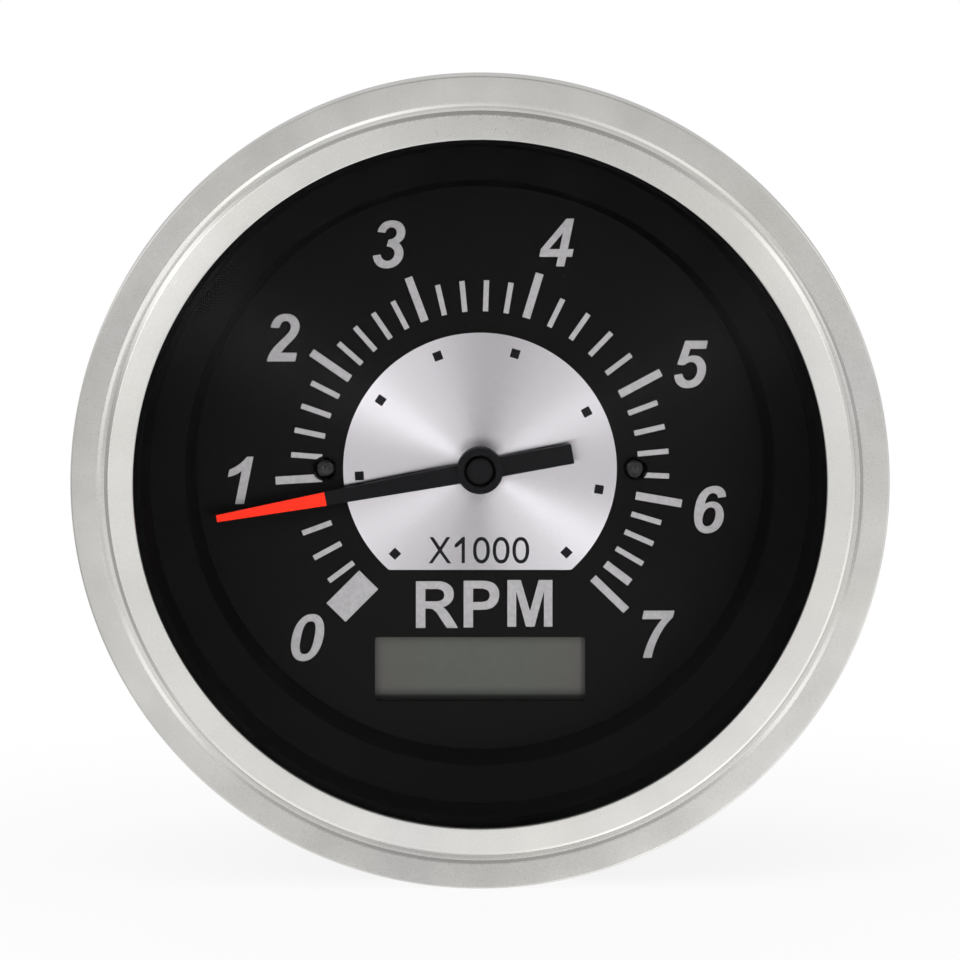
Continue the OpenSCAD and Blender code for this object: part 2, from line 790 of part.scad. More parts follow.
// Lower half of the bobbin, with a blind bearing for the end of the shaft
module bobbin_base() {
    chamber_r = magnet_d / 2 + air;
    color("burlywood") facing() difference() {
        bobbin_half_shape(z_split, z_bobbin_end, z_can_floor);
        rod(chamber_r, z_split + eps, z_bobbin_end + bobbin_end);
        rod(bearing_r, z_split + eps, z_shaft_end);
    }
}

// Two flat loops side by side round the bobbin, open in the middle for the bearing
module coil(lift_z) {
    z_hi = z_bobbin + lift_z;
    z_lo = z_bobbin_end - lift_z;
    for (s = [-1, 1]) translate([0, s * (coil_gap + coil_w) / 2, 0]) difference() {
        block(2 * (coil_in + coil_t), coil_w, z_lo - coil_t, z_hi + coil_t);
        block(2 * coil_in, coil_w + 2 * eps, z_lo, z_hi);
    }
}

// First winding, against the bobbin
module inner_coil() {
    color("chocolate") facing() coil(thread_fit);
}

// Second winding, crossed over the first
module outer_coil() {
    color("peru") facing() rotate([0, 0, 90]) coil(coil_t + 2 * thread_fit);
}

// Pins that carry the winding ends down to the circuit board
module coil_pins() {
    color("gold") facing() at_coil_pins()
        rod(coil_pin_d / 2, z_board_back - coil_pin_d, z_frame - frame_t / 2);
}

// Steel cup that screens the movement
module movement_can() {
    color("lightsteelblue") facing() difference() {
        rod(can_r, z_board, z_coils);
        rod(can_bore_r, z_can_floor, z_coils + eps);
    }
}

// Round board, drilled for the studs, screws and coil pins
module circuit_board() {
    color("seagreen") facing() difference() {
        rod(board_r, z_board_back, z_board);
        at_terminals() rod(terminal_d / 2 + thread_fit, z_board_back - eps, z_board + eps);
        at_dial(post_angles, post_r) rod(board_screw_d / 2 + fit, z_board_back - eps, z_board + eps);
        at_coil_pins() rod(coil_pin_d / 2 + thread_fit, z_board_back - eps, z_board + eps);
    }
}

// Two bonded plates of display glass, the front one lower to bare the contact ledges
module display_glass() {
    color("#5c6058") facing() at_window() union() {
        block(lcd_w, lcd_h, z_display_back, z_display_back + lcd_t / 2);
        block(lcd_w, lcd_h - strip_w, z_display_back, z_display);
    }
}

// Open frame that stands the display on the board
module display_holder() {
    color("white") facing() at_window() difference() {
        block(holder_w, holder_h, z_board, z_display_back);
        block(holder_w - 2 * holder_wall, holder_h - 2 * holder_wall, z_board - eps, z_display_back + eps);
    }
}

// Elastic strips that join the display's contacts to the board
module contact_strips() {
    w = holder_w - 2 * holder_wall - 2 * fit;
    y = holder_h / 2 - holder_wall - fit - strip_w / 2;
    color("lightpink") facing() at_window() for (s = [-1, 1])
        translate([0, s * y, 0]) block(w, strip_w, z_board, z_display_back);
}

// Surface lamps in a circle on the board
module backlight_lamps() {
    lamp_w = 3.5;
    lamp_h = 2.8;
    lamp_t = 1.9;
    well = 0.6;
    color("lemonchiffon") facing() at_dial(lamp_angles, lamp_r) difference() {
        block(lamp_h, lamp_w, z_board, z_board + lamp_t);
        rod(lamp_h * 0.4, z_board + lamp_t - well, z_board + lamp_t + eps);
    }
}

// Flat package with a row of leads on each side
module microcontroller() {
    body_w = 9;
    body_t = 1.4;
    lead_n = 8;
    lead_w = 0.5;
    lead_l = 1.2;
    lead_t = 0.3;
    color("#202020") facing() translate(chip_place) union() {
        block(body_w, body_w, z_board + lead_t / 2, z_board + body_t);
        for (side = [0:3], i = [0:lead_n - 1]) rotate([0, 0, 90 * side])
            translate([body_w / 2 + lead_l / 2 - eps, (i - (lead_n - 1) / 2) * body_w / (lead_n + 1), 0])
                block(lead_l + 2 * eps, lead_w, z_board, z_board + lead_t);
    }
}

// Can capacitor on its square base
module capacitor() {
    drum_r = 3.15;
    drum_h = 7.7;
    drum_edge = 0.4;
    base_w = 6.7;
    base_t = 0.8;
    color("silver") facing() translate(capacitor_place) union() {
        block(base_w, base_w, z_board, z_board + base_t);
        translate([0, 0, z_board]) turned([
            [0, 0, 0],
            [drum_r, 0, 0],
            [drum_r, drum_h, drum_edge],
            [0, drum_h, 0]
        ]);
    }
}

// Power package with its cooling tab
module regulator() {
    body_w = 6.5;
    body_h = 6;
    body_t = 2.3;
    tab_w = 5.4;
    tab_h = 2;
    lead_w = 0.8;
    lead_l = 2.4;
    lead_pitch = 2.3;
    metal_t = 0.6;
    color("#202020") facing() translate(regulator_place) union() {
        block(body_w, body_h, z_board, z_board + body_t);
        translate([0, (body_h + tab_h) / 2 - eps, 0])
            block(tab_w, tab_h, z_board, z_board + metal_t);
        for (s = [-1, 1]) translate([s * lead_pitch, eps - (body_h + lead_l) / 2, 0])
            block(lead_w, lead_l, z_board, z_board + metal_t);
    }
}

// Pan-head screws that hold the board on the posts
module board_screws() {
    head_r = board_screw_d * 0.9;
    head_h = board_screw_d * 0.6;
    slot_w = board_screw_d * 0.24;
    color("silver") facing() at_dial(post_angles, post_r) difference() {
        union() {
            translate([0, 0, z_board]) turned([
                [0, 0, 0],
                [head_r, 0, 0],
                [head_r, head_h, head_h / 2],
                [0, head_h, 0]
            ]);
            rod(board_screw_d / 2, z_board - board_screw_l, z_board + eps);
        }
        block(head_r, slot_w, z_board + head_h / 2, z_board + 2 * head_h);
        block(slot_w, head_r, z_board + head_h / 2, z_board + 2 * head_h);
    }
}

// Rotary switch body behind the board, bored for the selector's stem
module selector_switch() {
    stem_hole = switch_t * 0.8;
    color("royalblue") facing() at_selector() difference() {
        block(switch_w, switch_w, z_switch, z_board_back);
        rod(stem_d / 2 + running_fit, z_switch - eps, z_switch + stem_hole);
    }
}

// Slotted knob in the rear well, with its stem into the switch
module selector_knob() {
    z_inner = z_well - air;
    z_outer = z_inner - selector_t;
    slot_w = 1.2;
    slot_deep = 1.4;
    color("whitesmoke") facing() at_selector() difference() {
        union() {
            rod(selector_d / 2, z_outer, z_inner);
            rod(stem_d / 2, z_inner - eps, z_switch + switch_t / 2);
        }
        rotate([0, 0, -90]) block(selector_d * 0.8, slot_w, z_outer - eps, z_outer + slot_deep);
        rotate([0, 0, -90]) translate([selector_d * 0.3, 0, 0])
            rod(slot_w, z_outer - eps, z_outer + slot_deep / 2);
    }
}

// Brass studs: a thread through the board, a hexagonal spacer and a thread through the rear wall
module terminal_studs() {
    thread_end = 1;
    color("goldenrod") facing() at_terminals() union() {
        rod(terminal_d / 2, z_rear - terminal_reach, z_board + terminal_nut_h + thread_end);
        hex(terminal_flats, z_rear_in, z_board_back);
    }
}

// Nuts on the board and on the rear face
module terminal_nuts() {
    color("gold") facing() at_terminals() {
        terminal_nut(z_board, z_board + terminal_nut_h);
        terminal_nut(z_pad - washer_t - terminal_nut_h, z_pad - washer_t);
    }
}

// One hexagonal nut with its corners turned off
module terminal_nut(z0, z1) {
    corner_r = terminal_flats / 2 / cos(30);
    ease = corner_r - terminal_flats / 2;
    difference() {
        intersection() {
            hex(terminal_flats, z0, z1);
            turned([
                [0, z0, 0],
                [corner_r - ease, z0, 0],
                [corner_r + eps, z0 + ease * 0.6, 0],
                [corner_r + eps, z1 - ease * 0.6, 0],
                [corner_r - ease, z1, 0],
                [0, z1, 0]
            ]);
        }
        rod(terminal_d / 2 + thread_fit, z0 - eps, z1 + eps);
    }
}

// Plain washers under the rear nuts
module terminal_washers() {
    color("silver") facing() at_terminals()
        ring(washer_d / 2, terminal_d / 2 + thread_fit, z_pad - washer_t, z_pad);
}

// Headed studs with a plain shank in the rear wall, their threads free for a clamp bracket
module mounting_studs() {
    head_h = mount_stud_d * 0.6;
    chamfer = mount_stud_d * 0.15;
    z_end = z_rear - mount_stud_reach;
    color("silver") facing() at_mount_studs() union() {
        rod(mount_stud_d / 2, z_end + chamfer, z_pad);
        rod(shank_r, z_pad, z_rear_in);
        translate([0, 0, z_end])
            cylinder(r1 = mount_stud_d / 2 - chamfer, r2 = mount_stud_d / 2, h = chamfer);
        hex(mount_stud_d * 1.6, z_rear_in, z_rear_in + head_h);
    }
}

bezel();
lens();
lens_gasket();
panel_gasket();
case();
shroud_ring();
dial();
dial_disc();
scale_marks();
disc_marks();
dial_screws();
light_guide();
pointer();
pointer_tip();
pointer_shaft();
rotor_magnet();
movement_frame();
bobbin_top();
bobbin_base();
inner_coil();
outer_coil();
coil_pins();
movement_can();
circuit_board();
display_glass();
display_holder();
contact_strips();
backlight_lamps();
microcontroller();
capacitor();
regulator();
board_screws();
selector_switch();
selector_knob();
terminal_studs();
terminal_nuts();
terminal_washers();
mounting_studs();
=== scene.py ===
import json
import math

import bmesh
import bpy
import numpy as np
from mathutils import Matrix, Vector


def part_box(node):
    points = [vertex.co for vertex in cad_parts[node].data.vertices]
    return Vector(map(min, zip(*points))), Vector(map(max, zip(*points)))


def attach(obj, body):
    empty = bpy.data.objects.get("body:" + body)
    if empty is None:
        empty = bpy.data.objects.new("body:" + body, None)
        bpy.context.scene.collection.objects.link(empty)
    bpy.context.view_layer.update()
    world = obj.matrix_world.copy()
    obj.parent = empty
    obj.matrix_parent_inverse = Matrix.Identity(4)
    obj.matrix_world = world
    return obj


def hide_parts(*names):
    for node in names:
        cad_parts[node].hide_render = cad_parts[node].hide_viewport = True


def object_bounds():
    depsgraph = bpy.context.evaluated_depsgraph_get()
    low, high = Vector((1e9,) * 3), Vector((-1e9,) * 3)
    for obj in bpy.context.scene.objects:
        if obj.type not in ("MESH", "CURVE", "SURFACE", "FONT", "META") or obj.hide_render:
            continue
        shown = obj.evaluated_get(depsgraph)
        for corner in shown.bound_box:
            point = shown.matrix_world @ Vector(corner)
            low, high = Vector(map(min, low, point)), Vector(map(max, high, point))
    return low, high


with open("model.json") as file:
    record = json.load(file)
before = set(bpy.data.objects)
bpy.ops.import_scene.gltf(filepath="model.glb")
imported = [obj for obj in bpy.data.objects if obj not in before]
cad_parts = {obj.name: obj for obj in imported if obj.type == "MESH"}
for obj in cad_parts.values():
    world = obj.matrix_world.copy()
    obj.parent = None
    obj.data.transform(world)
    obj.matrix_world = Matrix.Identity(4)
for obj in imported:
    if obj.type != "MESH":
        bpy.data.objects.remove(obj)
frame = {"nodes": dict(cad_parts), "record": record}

bl_info = {
    "name": "Panel tachometer with hour display",
    "version": (1, 0, 0),
    "blender": (4, 5, 0),
    "location": "View3D > Sidebar > Instrument",
    "description": "Gives the packed instrument its finishes, print, turned rings and studio stage",
    "category": "Add Mesh",
}

MM = 0.001
SHARP = 35  # edges that turn by more degrees stay crisp
FINISH = "_finish"
CAD_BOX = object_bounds()

# Stage: how high the camera stands, the level of light all round, and the panels that metal mirrors
CAMERA_ELEVATION = 7.15
AMBIENT = 0.55
HOLE = (100.0, -0.80)  # sharpness and amount of the dark round the camera
NEAR_LEVEL = 0.91
NEAR_PANELS = (  # turn, sharpness, amount
    (148, 80.0, 2.32),
    (328, 80.0, 0.20),
    (29, 64.0, 1.50),
    (85, 16.0, -0.92),
    (262, 16.0, 0.06),
    (120, 10.0, 0.16),
    (300, 10.0, 0.50),
    (240, 10.0, 0.36),
    (345, 16.0, -0.06),
)
FAR_LEVEL = 0.53
FAR_PANELS = (  # off the axis, turn, sharpness, amount
    (34, 325, 14.0, 0.31),
    (34, 205, 20.0, 0.49),
    (34, 256, 24.0, -0.12),
    (34, 170, 16.0, -0.10),
    (34, 90, 14.0, 0.37),
)
SIDE_LEVEL = 0.61
SIDE_PANELS = (  # turn, sharpness, amount
    (30, 30.0, 0.87),
    (150, 30.0, 0.91),
    (240, 20.0, 0.66),
    (270, 10.0, 0.06),
    (294, 18.0, 1.10),
    (333, 12.0, 0.68),
    (85, 5.0, -0.29),
    (195, 8.0, -0.20),
)
BACK_LEVEL = 0.66
NEAR_ZONE, FAR_ZONE, SIDE_ZONE = (27, 20), (52, 44), (98, 86)  # angles at which each fan ends

CAMERA_DISTANCE = 0.9
CAMERA_TARGET = (0.0, -3.87 * MM, 0.14 * MM)
VIEW_WIDTH = 112.87 * MM  # width of the picture at the target
SENSOR = 36.0
FLOOR_REACH = 20.0
FLOOR_FADE = (0.05, 0.15)  # distances between which the floor goes from nearly white to white
FLOOR_NEAR = 0.88
DARKEST = 0.02
LAMPS = (  # name, place, size, power
    ("key_light", (0.42, -0.75, -0.22), 0.30, 3.3),
    ("fill_light", (-0.60, -0.80, 0.45), 0.60, 3.3),
    ("top_light", (0.0, -0.15, 1.10), 1.20, 3.0),
)

# Places on the part that finishes and studs need
DISPLAY_HALF = 12.5 * MM
DISPLAY_PAINTED_SHADE = (-27.3 * MM, -26.3 * MM)  # heights between which painted shade darkens the display's lower part
DISPLAY_BORDER = (-27.6 * MM, -27.1 * MM)
# radius of the hub's turned ring, and the widths over which painted shade darkens it
HUB_RING, HUB_RING_PAINTED_SHADE = 1.7 * MM, (0.12 * MM, 0.34 * MM)
TERMINAL_TURNS = (48, 76, 104, 132)
THREAD_DEPTH = 0.54  # in pitches
HEXAGON, ROUND = 6, 48  # sides of the studs' hexagons and round shanks


def length(name, millimetres, description):
    """A length property, given in millimetres and kept in metres."""
    return bpy.props.FloatProperty(
        name=name, description=description, default=millimetres * MM, unit="LENGTH", precision=5
    )


def angle(name, degrees, description):
    """An angle property, given in degrees and kept in radians."""
    return bpy.props.FloatProperty(
        name=name, description=description, default=math.radians(degrees), subtype="ANGLE"
    )


def colour(name, value, description):
    """A colour property in linear red, green and blue."""
    return bpy.props.FloatVectorProperty(
        name=name, description=description, default=value, size=3, min=0.0, max=1.0, subtype="COLOR"
    )


class InstrumentSizes(bpy.types.PropertyGroup):
    """Sizes of the pieces that are built here."""

    lip_radius: length("Lip radius", 40.6, "Inner radius of the bezel")
    lip_round: length("Lip round", 0.18, "Radius on the lip's front edge")
    sheet: length("Sheet", 0.8, "Thickness of the bezel's stainless sheet")
    band_slope: angle("Band slope", 6, "Slope of the bezel's inner band")
    groove_radius: length("Groove radius", 44.23, "Radius of the turned groove")
    groove_width: length("Groove width", 1.3, "Width of the turned groove")
    groove_floor: length("Groove floor", 0.47, "Width of the groove's floor")
    groove_depth: length("Groove depth", 0.22, "Depth of the groove's floor below its outer edge")
    groove_round: length("Groove round", 0.06, "Radius on the groove's edges and floor")
    band_edge: length("Outer band edge", 7.3, "Height of the outer band's edge over the panel")
    shoulder_round: length("Shoulder round", 0.3, "Radius from the outer band to the side")
    edge_round: length("Rear edge round", 1.0, "Radius of the rolled rear edge")
    crimp_width: length("Crimp width", 3.4, "Reach of the rolled edge behind the flange")
    numeral_height: length("Numeral height", 5.68, "Height of the dial's numerals")
    numeral_slant: angle("Numeral slant", 11.5, "Lean of the dial's numerals")
    letter_height: length("Letter height", 5.62, "Height of the unit's letters under the disc")
    screw_radius: length("Screw head radius", 1.4, "Radius of the dial screws' heads")
    screw_shank: length("Screw shank radius", 0.8, "Radius of the dial screws' shanks")
    print_height: length("Print height", 0.06, "Thickness of the printed ink")
    disc_hole: length("Disc hole", 1.84, "Radius of the hole in the centre disc")
    factor_height: length("Factor height", 3.14, "Height of the factor printed on the disc")
    wall_depth: length("Rear wall depth", 41.6, "Depth of the inner face of the case's rear wall")
    pad_depth: length("Pad depth", 45.2, "Depth of the pads round the mounting studs")
    terminal_circle: length("Terminal circle", 24, "Radius of the circle of terminal studs")
    terminal_radius: length("Terminal radius", 2.0, "Outer radius of the terminal studs")
    spacer_flats: length("Spacer flats", 7.0, "Width over flats of the terminal studs' spacers")
    mount_offset: length("Mounting offset", 28, "How far the mounting studs stand from the axis")
    mount_radius: length("Mounting radius", 2.5, "Outer radius of the mounting studs' thread")
    shank_width: length("Shank width", 5.6, "Width of the mounting studs' shanks in the wall")
    mount_flats: length("Mounting flats", 8.0, "Width over flats of the mounting studs' heads")
    terminal_pitch: length("Terminal thread pitch", 0.7, "Pitch of the terminal studs' thread")
    mount_pitch: length("Mounting thread pitch", 0.8, "Pitch of the mounting studs' thread")


class InstrumentColours(bpy.types.PropertyGroup):
    """Colours a user would change."""

    steel: colour("Stainless", (0.727, 0.718, 0.703), "Bezel")
    disc: colour("Spun aluminium", (0.832, 0.805, 0.844), "Centre disc")
    dial: colour("Dial", (0.0075, 0.0073, 0.0072), "Dial sheet")
    shroud: colour("Shroud", (0.0060, 0.0059, 0.0060), "Stepped wall round the dial")
    print_grey: colour("Print", (0.455, 0.443, 0.455), "Numerals and marks")
    pointer: colour("Pointer", (0.0085, 0.0085, 0.0095), "Pointer arm and hub")
    tip: colour("Pointer tip", (0.97, 0.027, 0.010), "Outer end of the pointer")
    display: colour("Display", (0.109, 0.114, 0.103), "Blank liquid crystal")
    case: colour("Case", (0.012, 0.012, 0.013), "Moulded case")
    brass: colour("Brass", (0.72, 0.47, 0.17), "Terminal studs and nuts")
    floor: colour("Floor", (0.95, 0.95, 0.95), "Studio floor")


# Finishes


class Nodes:
    """A node tree that is filled step by step."""

    def __init__(self, tree):
        self.tree = tree
        tree.nodes.clear()

    def add(self, kind, inputs=None, **settings):
        """Adds a node, sets its options and sets or links its inputs."""
        node = self.tree.nodes.new(kind)
        for key, value in settings.items():
            setattr(node, key, value)
        for key, value in (inputs or {}).items():
            socket = node.inputs[key]
            if isinstance(value, bpy.types.NodeSocket):
                self.tree.links.new(value, socket)
            else:
                socket.default_value = (*value, 1) if socket.type == "RGBA" and len(value) == 3 else value
        return node

    def maths(self, operation, *values):
        """One sum on numbers or sockets."""
        return self.add("ShaderNodeMath", dict(enumerate(values)), operation=operation).outputs[0]

    def ramp(self, value, low, high, start=0.0, end=1.0, kind="LINEAR"):
        """Start up to the low value, end from the high one, and a straight or smooth way between."""
        span = {"Value": value, "From Min": low, "From Max": high, "To Min": start, "To Max": end}
        return self.add("ShaderNodeMapRange", span, interpolation_type=kind).outputs[0]

    def rise(self, value, low, high, start=0.0, end=1.0):
        """A smooth ramp."""
        return self.ramp(value, low, high, start, end, "SMOOTHSTEP")


class Shader(Nodes):
    """A material and the nodes that make it."""

    def __init__(self, name):
        self.material = bpy.data.materials.new(name + FINISH)
        self.material.use_nodes = True
        super().__init__(self.material.node_tree)
        self.coords = self.add("ShaderNodeTexCoord").outputs["Object"]

    def vector(self, operation, *values):
        """One sum on vectors."""
        return self.add("ShaderNodeVectorMath", dict(enumerate(values)), operation=operation).outputs[0]

    def noise(self, size, detail=2.0, vector=None):
        """Noise of about the given grain size in metres, from 0 to 1."""
        return self.add(
            "ShaderNodeTexNoise",
            {"Vector": vector or self.coords, "Scale": 1.0 / size, "Detail": detail},
        ).outputs[0]

    def spread(self, value, low, high):
        """A value from the middle of 0 to 1 spread over low to high."""
        return self.ramp(value, 0.3, 0.7, low, high)

    def radius(self):
        """Distance from the dial's axis."""
        flat = self.vector("MULTIPLY", self.coords, (1, 0, 1))
        return self.add("ShaderNodeVectorMath", {0: flat}, operation="LENGTH").outputs["Value"]

    def mix(self, factor, a, b):
        """A colour between two, which may be values or sockets."""
        return self.add("ShaderNodeMix", {"Factor": factor, "A": a, "B": b}, data_type="RGBA").outputs["Result"]

    def bump(self, height, strength, distance):
        """A normal raised by a height from 0 to 1 over a distance."""
        return self.add("ShaderNodeBump", {"Height": height, "Strength": strength, "Distance": distance}).outputs[0]

    def surface(self, **inputs):
        """A principled surface wired to the output."""
        names = {key.replace("_", " ").title().replace("Ior", "IOR"): value for key, value in inputs.items()}
        node = self.add("ShaderNodeBsdfPrincipled", names)
        return self.output(node.outputs[0])

    def output(self, shader):
        """Wires a shader to the output and gives the material back."""
        self.add("ShaderNodeOutputMaterial", {"Surface": shader})
        return self.material


def shade(value, factor):
    """A colour made lighter or darker."""
    return tuple(min(1.0, channel * factor) for channel in value)


def moulded(name, value, roughness=0.5, specular=0.3, mottle=0.12, texture=0.00012, relief=0.15):
    """Plastic, rubber or paint: a fine moulded texture and a faint cloudy change of tone."""
    s = Shader(name)
    tone = s.spread(s.noise(0.004, 3), 0, 1)
    height = s.noise(texture, 3)
    return s.surface(
        base_color=s.mix(tone, shade(value, 1 - mottle), shade(value, 1 + mottle)),
        roughness=s.spread(height, roughness - 0.05, roughness + 0.05),
        normal=s.bump(height, relief, texture * 0.4),
        specular_ior_level=specular,
    )


def metal(name, value, roughness=0.3, mottle=0.08, texture=0.0002, relief=0.08):
    """Plain metal: cloudy tone, fine scratches along the pieces' depth and grain."""
    s = Shader(name)
    tone = s.spread(s.noise(0.003, 4), 0, 1)
    drawn = s.vector("MULTIPLY", s.coords, (1, 0.12, 1))
    height = s.noise(texture, 3, drawn)
    return s.surface(
        base_color=s.mix(tone, shade(value, 1 - mottle), shade(value, 1 + mottle)),
        metallic=1.0,
        roughness=s.spread(height, roughness - 0.07, roughness + 0.07),
        normal=s.bump(height, relief, texture * 0.3),
    )


def stainless(value, sizes):
    """Satin stainless: tone that drifts round the ring, faint warm stains, a sparkling grain and
    cloudy patches outside the groove."""
    s = Shader("stainless")
    around = s.vector("NORMALIZE", s.vector("MULTIPLY", s.coords, (1, 0, 1)))
    radius = s.radius()
    drift = s.spread(s.noise(0.22, 5, around), 0, 1)
    stain = s.spread(s.noise(0.5, 3, s.vector("ADD", around, (7, 3, 5))), 0, 1)
    grain = s.noise(0.00016, 2)
    off = s.maths("ABSOLUTE", s.maths("SUBTRACT", radius, sizes.groove_radius))
    groove = s.ramp(off, sizes.groove_width * 0.5, sizes.groove_width * 0.62, 0.12, 1.0)
    polish = s.maths("ADD", s.maths("MULTIPLY", groove, 0.6), 0.4)
    outside = s.rise(radius, sizes.groove_radius, sizes.groove_radius + sizes.groove_width)
    cloud = s.mix(s.spread(s.noise(0.007, 5), 0, 1), shade(value, 0.86), shade(value, 1.12))
    base = s.mix(drift, shade(value, 0.93), shade(value, 1.06))
    base = s.mix(s.maths("MULTIPLY", outside, 0.75), base, cloud)
    warm = s.mix(stain, base, s.mix(0.5, base, (value[0] * 0.99, value[1] * 0.98, value[2] * 0.90)))
    speckle = s.mix(s.spread(grain, 0, 1), s.mix(0.07, warm, (0.2, 0.2, 0.2)), s.mix(0.10, warm, (1, 1, 1)))
    return s.surface(
        base_color=speckle,
        metallic=1.0,
        roughness=s.maths("MULTIPLY", s.spread(grain, 0.27, 0.36), polish),
        normal=s.bump(s.maths("MULTIPLY", grain, groove), 0.10, 0.00004),
    )


def spun(value):
    """Spun aluminium: stretched highlights across fine rings, with the brushing round the axis."""
    s = Shader("spun_aluminium")
    rings = s.add(
        "ShaderNodeTexNoise", {"W": s.radius(), "Scale": 9000.0, "Detail": 3.0}, noise_dimensions="1D"
    ).outputs[0]
    grain = s.noise(0.00022, 3)
    tone = s.maths("MULTIPLY", s.maths("ADD", rings, grain), 0.5)
    tangent = s.add("ShaderNodeTangent", direction_type="UV_MAP", uv_map="UVMap").outputs[0]
    return s.surface(
        base_color=s.mix(s.spread(tone, 0, 1), shade(value, 0.955), shade(value, 1.035)),
        metallic=1.0,
        roughness=0.26,
        anisotropic=1.0,
        tangent=tangent,
    )


def printed(name, value, mottle=0.10):
    """Screen-printed ink: matt and a little uneven, with specks where it is thin."""
    s = Shader(name)
    cover = s.noise(0.0005, 4)
    return s.surface(
        base_color=s.mix(s.spread(cover, 0, 1), shade(value, 1 - mottle), shade(value, 1 + mottle)),
        roughness=0.7,
        specular_ior_level=0.1,
        normal=s.bump(cover, 0.1, 0.00002),
    )


def dial_sheet(value):
    """Matt black dial with a fine grain and a scatter of dust."""
    s = Shader("dial_black")
    grain = s.noise(0.0002, 3)
    dust = s.add("ShaderNodeTexVoronoi", {"Vector": s.coords, "Scale": 420.0}).outputs["Distance"]
    speck = s.maths("LESS_THAN", dust, 0.03)
    tone = s.mix(s.spread(grain, 0, 1), shade(value, 0.85), shade(value, 1.2))
    return s.surface(
        base_color=s.mix(s.maths("MULTIPLY", speck, 0.25), tone, (0.12, 0.12, 0.11)),
        roughness=0.75,
        specular_ior_level=0.06,
        normal=s.bump(grain, 0.15, 0.00003),
    )


def crystal(value):
    """Blank liquid crystal: a grey-green field, a little warmer to its ends, with painted shade
    darkening it towards a dark strip along its lower edge, under matt film."""
    s = Shader("display")
    x, _, z = s.add("ShaderNodeSeparateXYZ", {0: s.coords}).outputs
    ends = s.maths("POWER", s.maths("ABSOLUTE", s.maths("DIVIDE", x, DISPLAY_HALF)), 3.0)
    film = s.noise(0.0008, 4)
    field = s.mix(s.spread(film, 0, 1), shade(value, 0.96), shade(value, 1.04))
    warm = (value[0] * 1.02, value[1] * 0.93, value[2] * 0.98)
    field = s.mix(s.maths("MINIMUM", ends, 0.8), field, warm)
    # painted shade: the field darkens towards its lower edge
    field = s.mix(s.rise(z, *DISPLAY_PAINTED_SHADE), shade(value, 0.60), field)
    return s.surface(
        base_color=s.mix(s.rise(z, *DISPLAY_BORDER), shade(value, 0.10), field),
        roughness=0.45,
        specular_ior_level=0.1,
        normal=s.bump(film, 0.03, 0.00002),
    )


def clear_pane():
    """Coated glass: clear from the front, with a mirror sheen only where it is seen edge on."""
    s = Shader("lens_glass")
    sheen = s.add("ShaderNodeFresnel", {"IOR": 1.09}).outputs[0]
    clear = s.add("ShaderNodeBsdfTransparent", {"Color": (0.985, 0.985, 0.985)}).outputs[0]
    smear = s.spread(s.noise(0.012, 4), 0.01, 0.05)
    mirror = s.add("ShaderNodeBsdfGlossy", {"Color": (1, 1, 1), "Roughness": smear}).outputs[0]
    return s.output(s.add("ShaderNodeMixShader", {0: sheen, 1: clear, 2: mirror}).outputs[0])


def pointer_black(value):
    """Matt black paint with dust-fine mottle, and painted shade that darkens the ring turned in the hub and takes
    its sheen away.
    """
    s = Shader("pointer_black")
    cover = s.noise(0.0004, 3)
    off = s.maths("ABSOLUTE", s.maths("SUBTRACT", s.radius(), HUB_RING))
    clear_of_painted_shade = s.rise(off, *HUB_RING_PAINTED_SHADE)
    paint = s.mix(s.spread(cover, 0, 1), shade(value, 0.9), shade(value, 1.1))
    return s.surface(
        # painted shade in the hub's ring: darker colour and no specular there
        base_color=s.mix(clear_of_painted_shade, shade(value, 0.25), paint),
        roughness=0.5,
        specular_ior_level=s.maths("MULTIPLY", clear_of_painted_shade, 0.08),
        normal=s.bump(cover, 0.1, 0.00003),
    )


def red_with_painted_glow(value):
    """Fluorescent red paint on the pointer's tip, with a painted glow: it emits its own red light."""
    s = Shader("pointer_red")
    cover = s.spread(s.noise(0.0006, 3), 0, 1)
    return s.surface(
        base_color=s.mix(cover, shade(value, 0.9), value),
        roughness=0.5,
        specular_ior_level=0.2,
        # painted glow: emission makes the tip give off red light
        emission_color=value,
        emission_strength=0.32,
    )


def board_laminate():
    """Green solder mask over a faint weave."""
    s = Shader("board")
    weave = s.add("ShaderNodeTexBrick", {"Vector": s.coords, "Scale": 900.0}).outputs["Fac"]
    return s.surface(
        base_color=s.mix(weave, (0.012, 0.12, 0.045), (0.016, 0.16, 0.06)),
        roughness=0.35,
        normal=s.bump(weave, 0.1, 0.00003),
    )


def wound_wire():
    """Fine enamelled wire laid side by side."""
    s = Shader("winding")
    turns = s.add(
        "ShaderNodeTexWave", {"Vector": s.coords, "Scale": 1500.0}, bands_direction="DIAGONAL"
    ).outputs["Fac"]
    return s.surface(
        base_color=s.mix(turns, (0.30, 0.10, 0.03), (0.62, 0.24, 0.08)),
        metallic=0.8,
        roughness=0.35,
        normal=s.bump(turns, 0.4, 0.00005),
    )


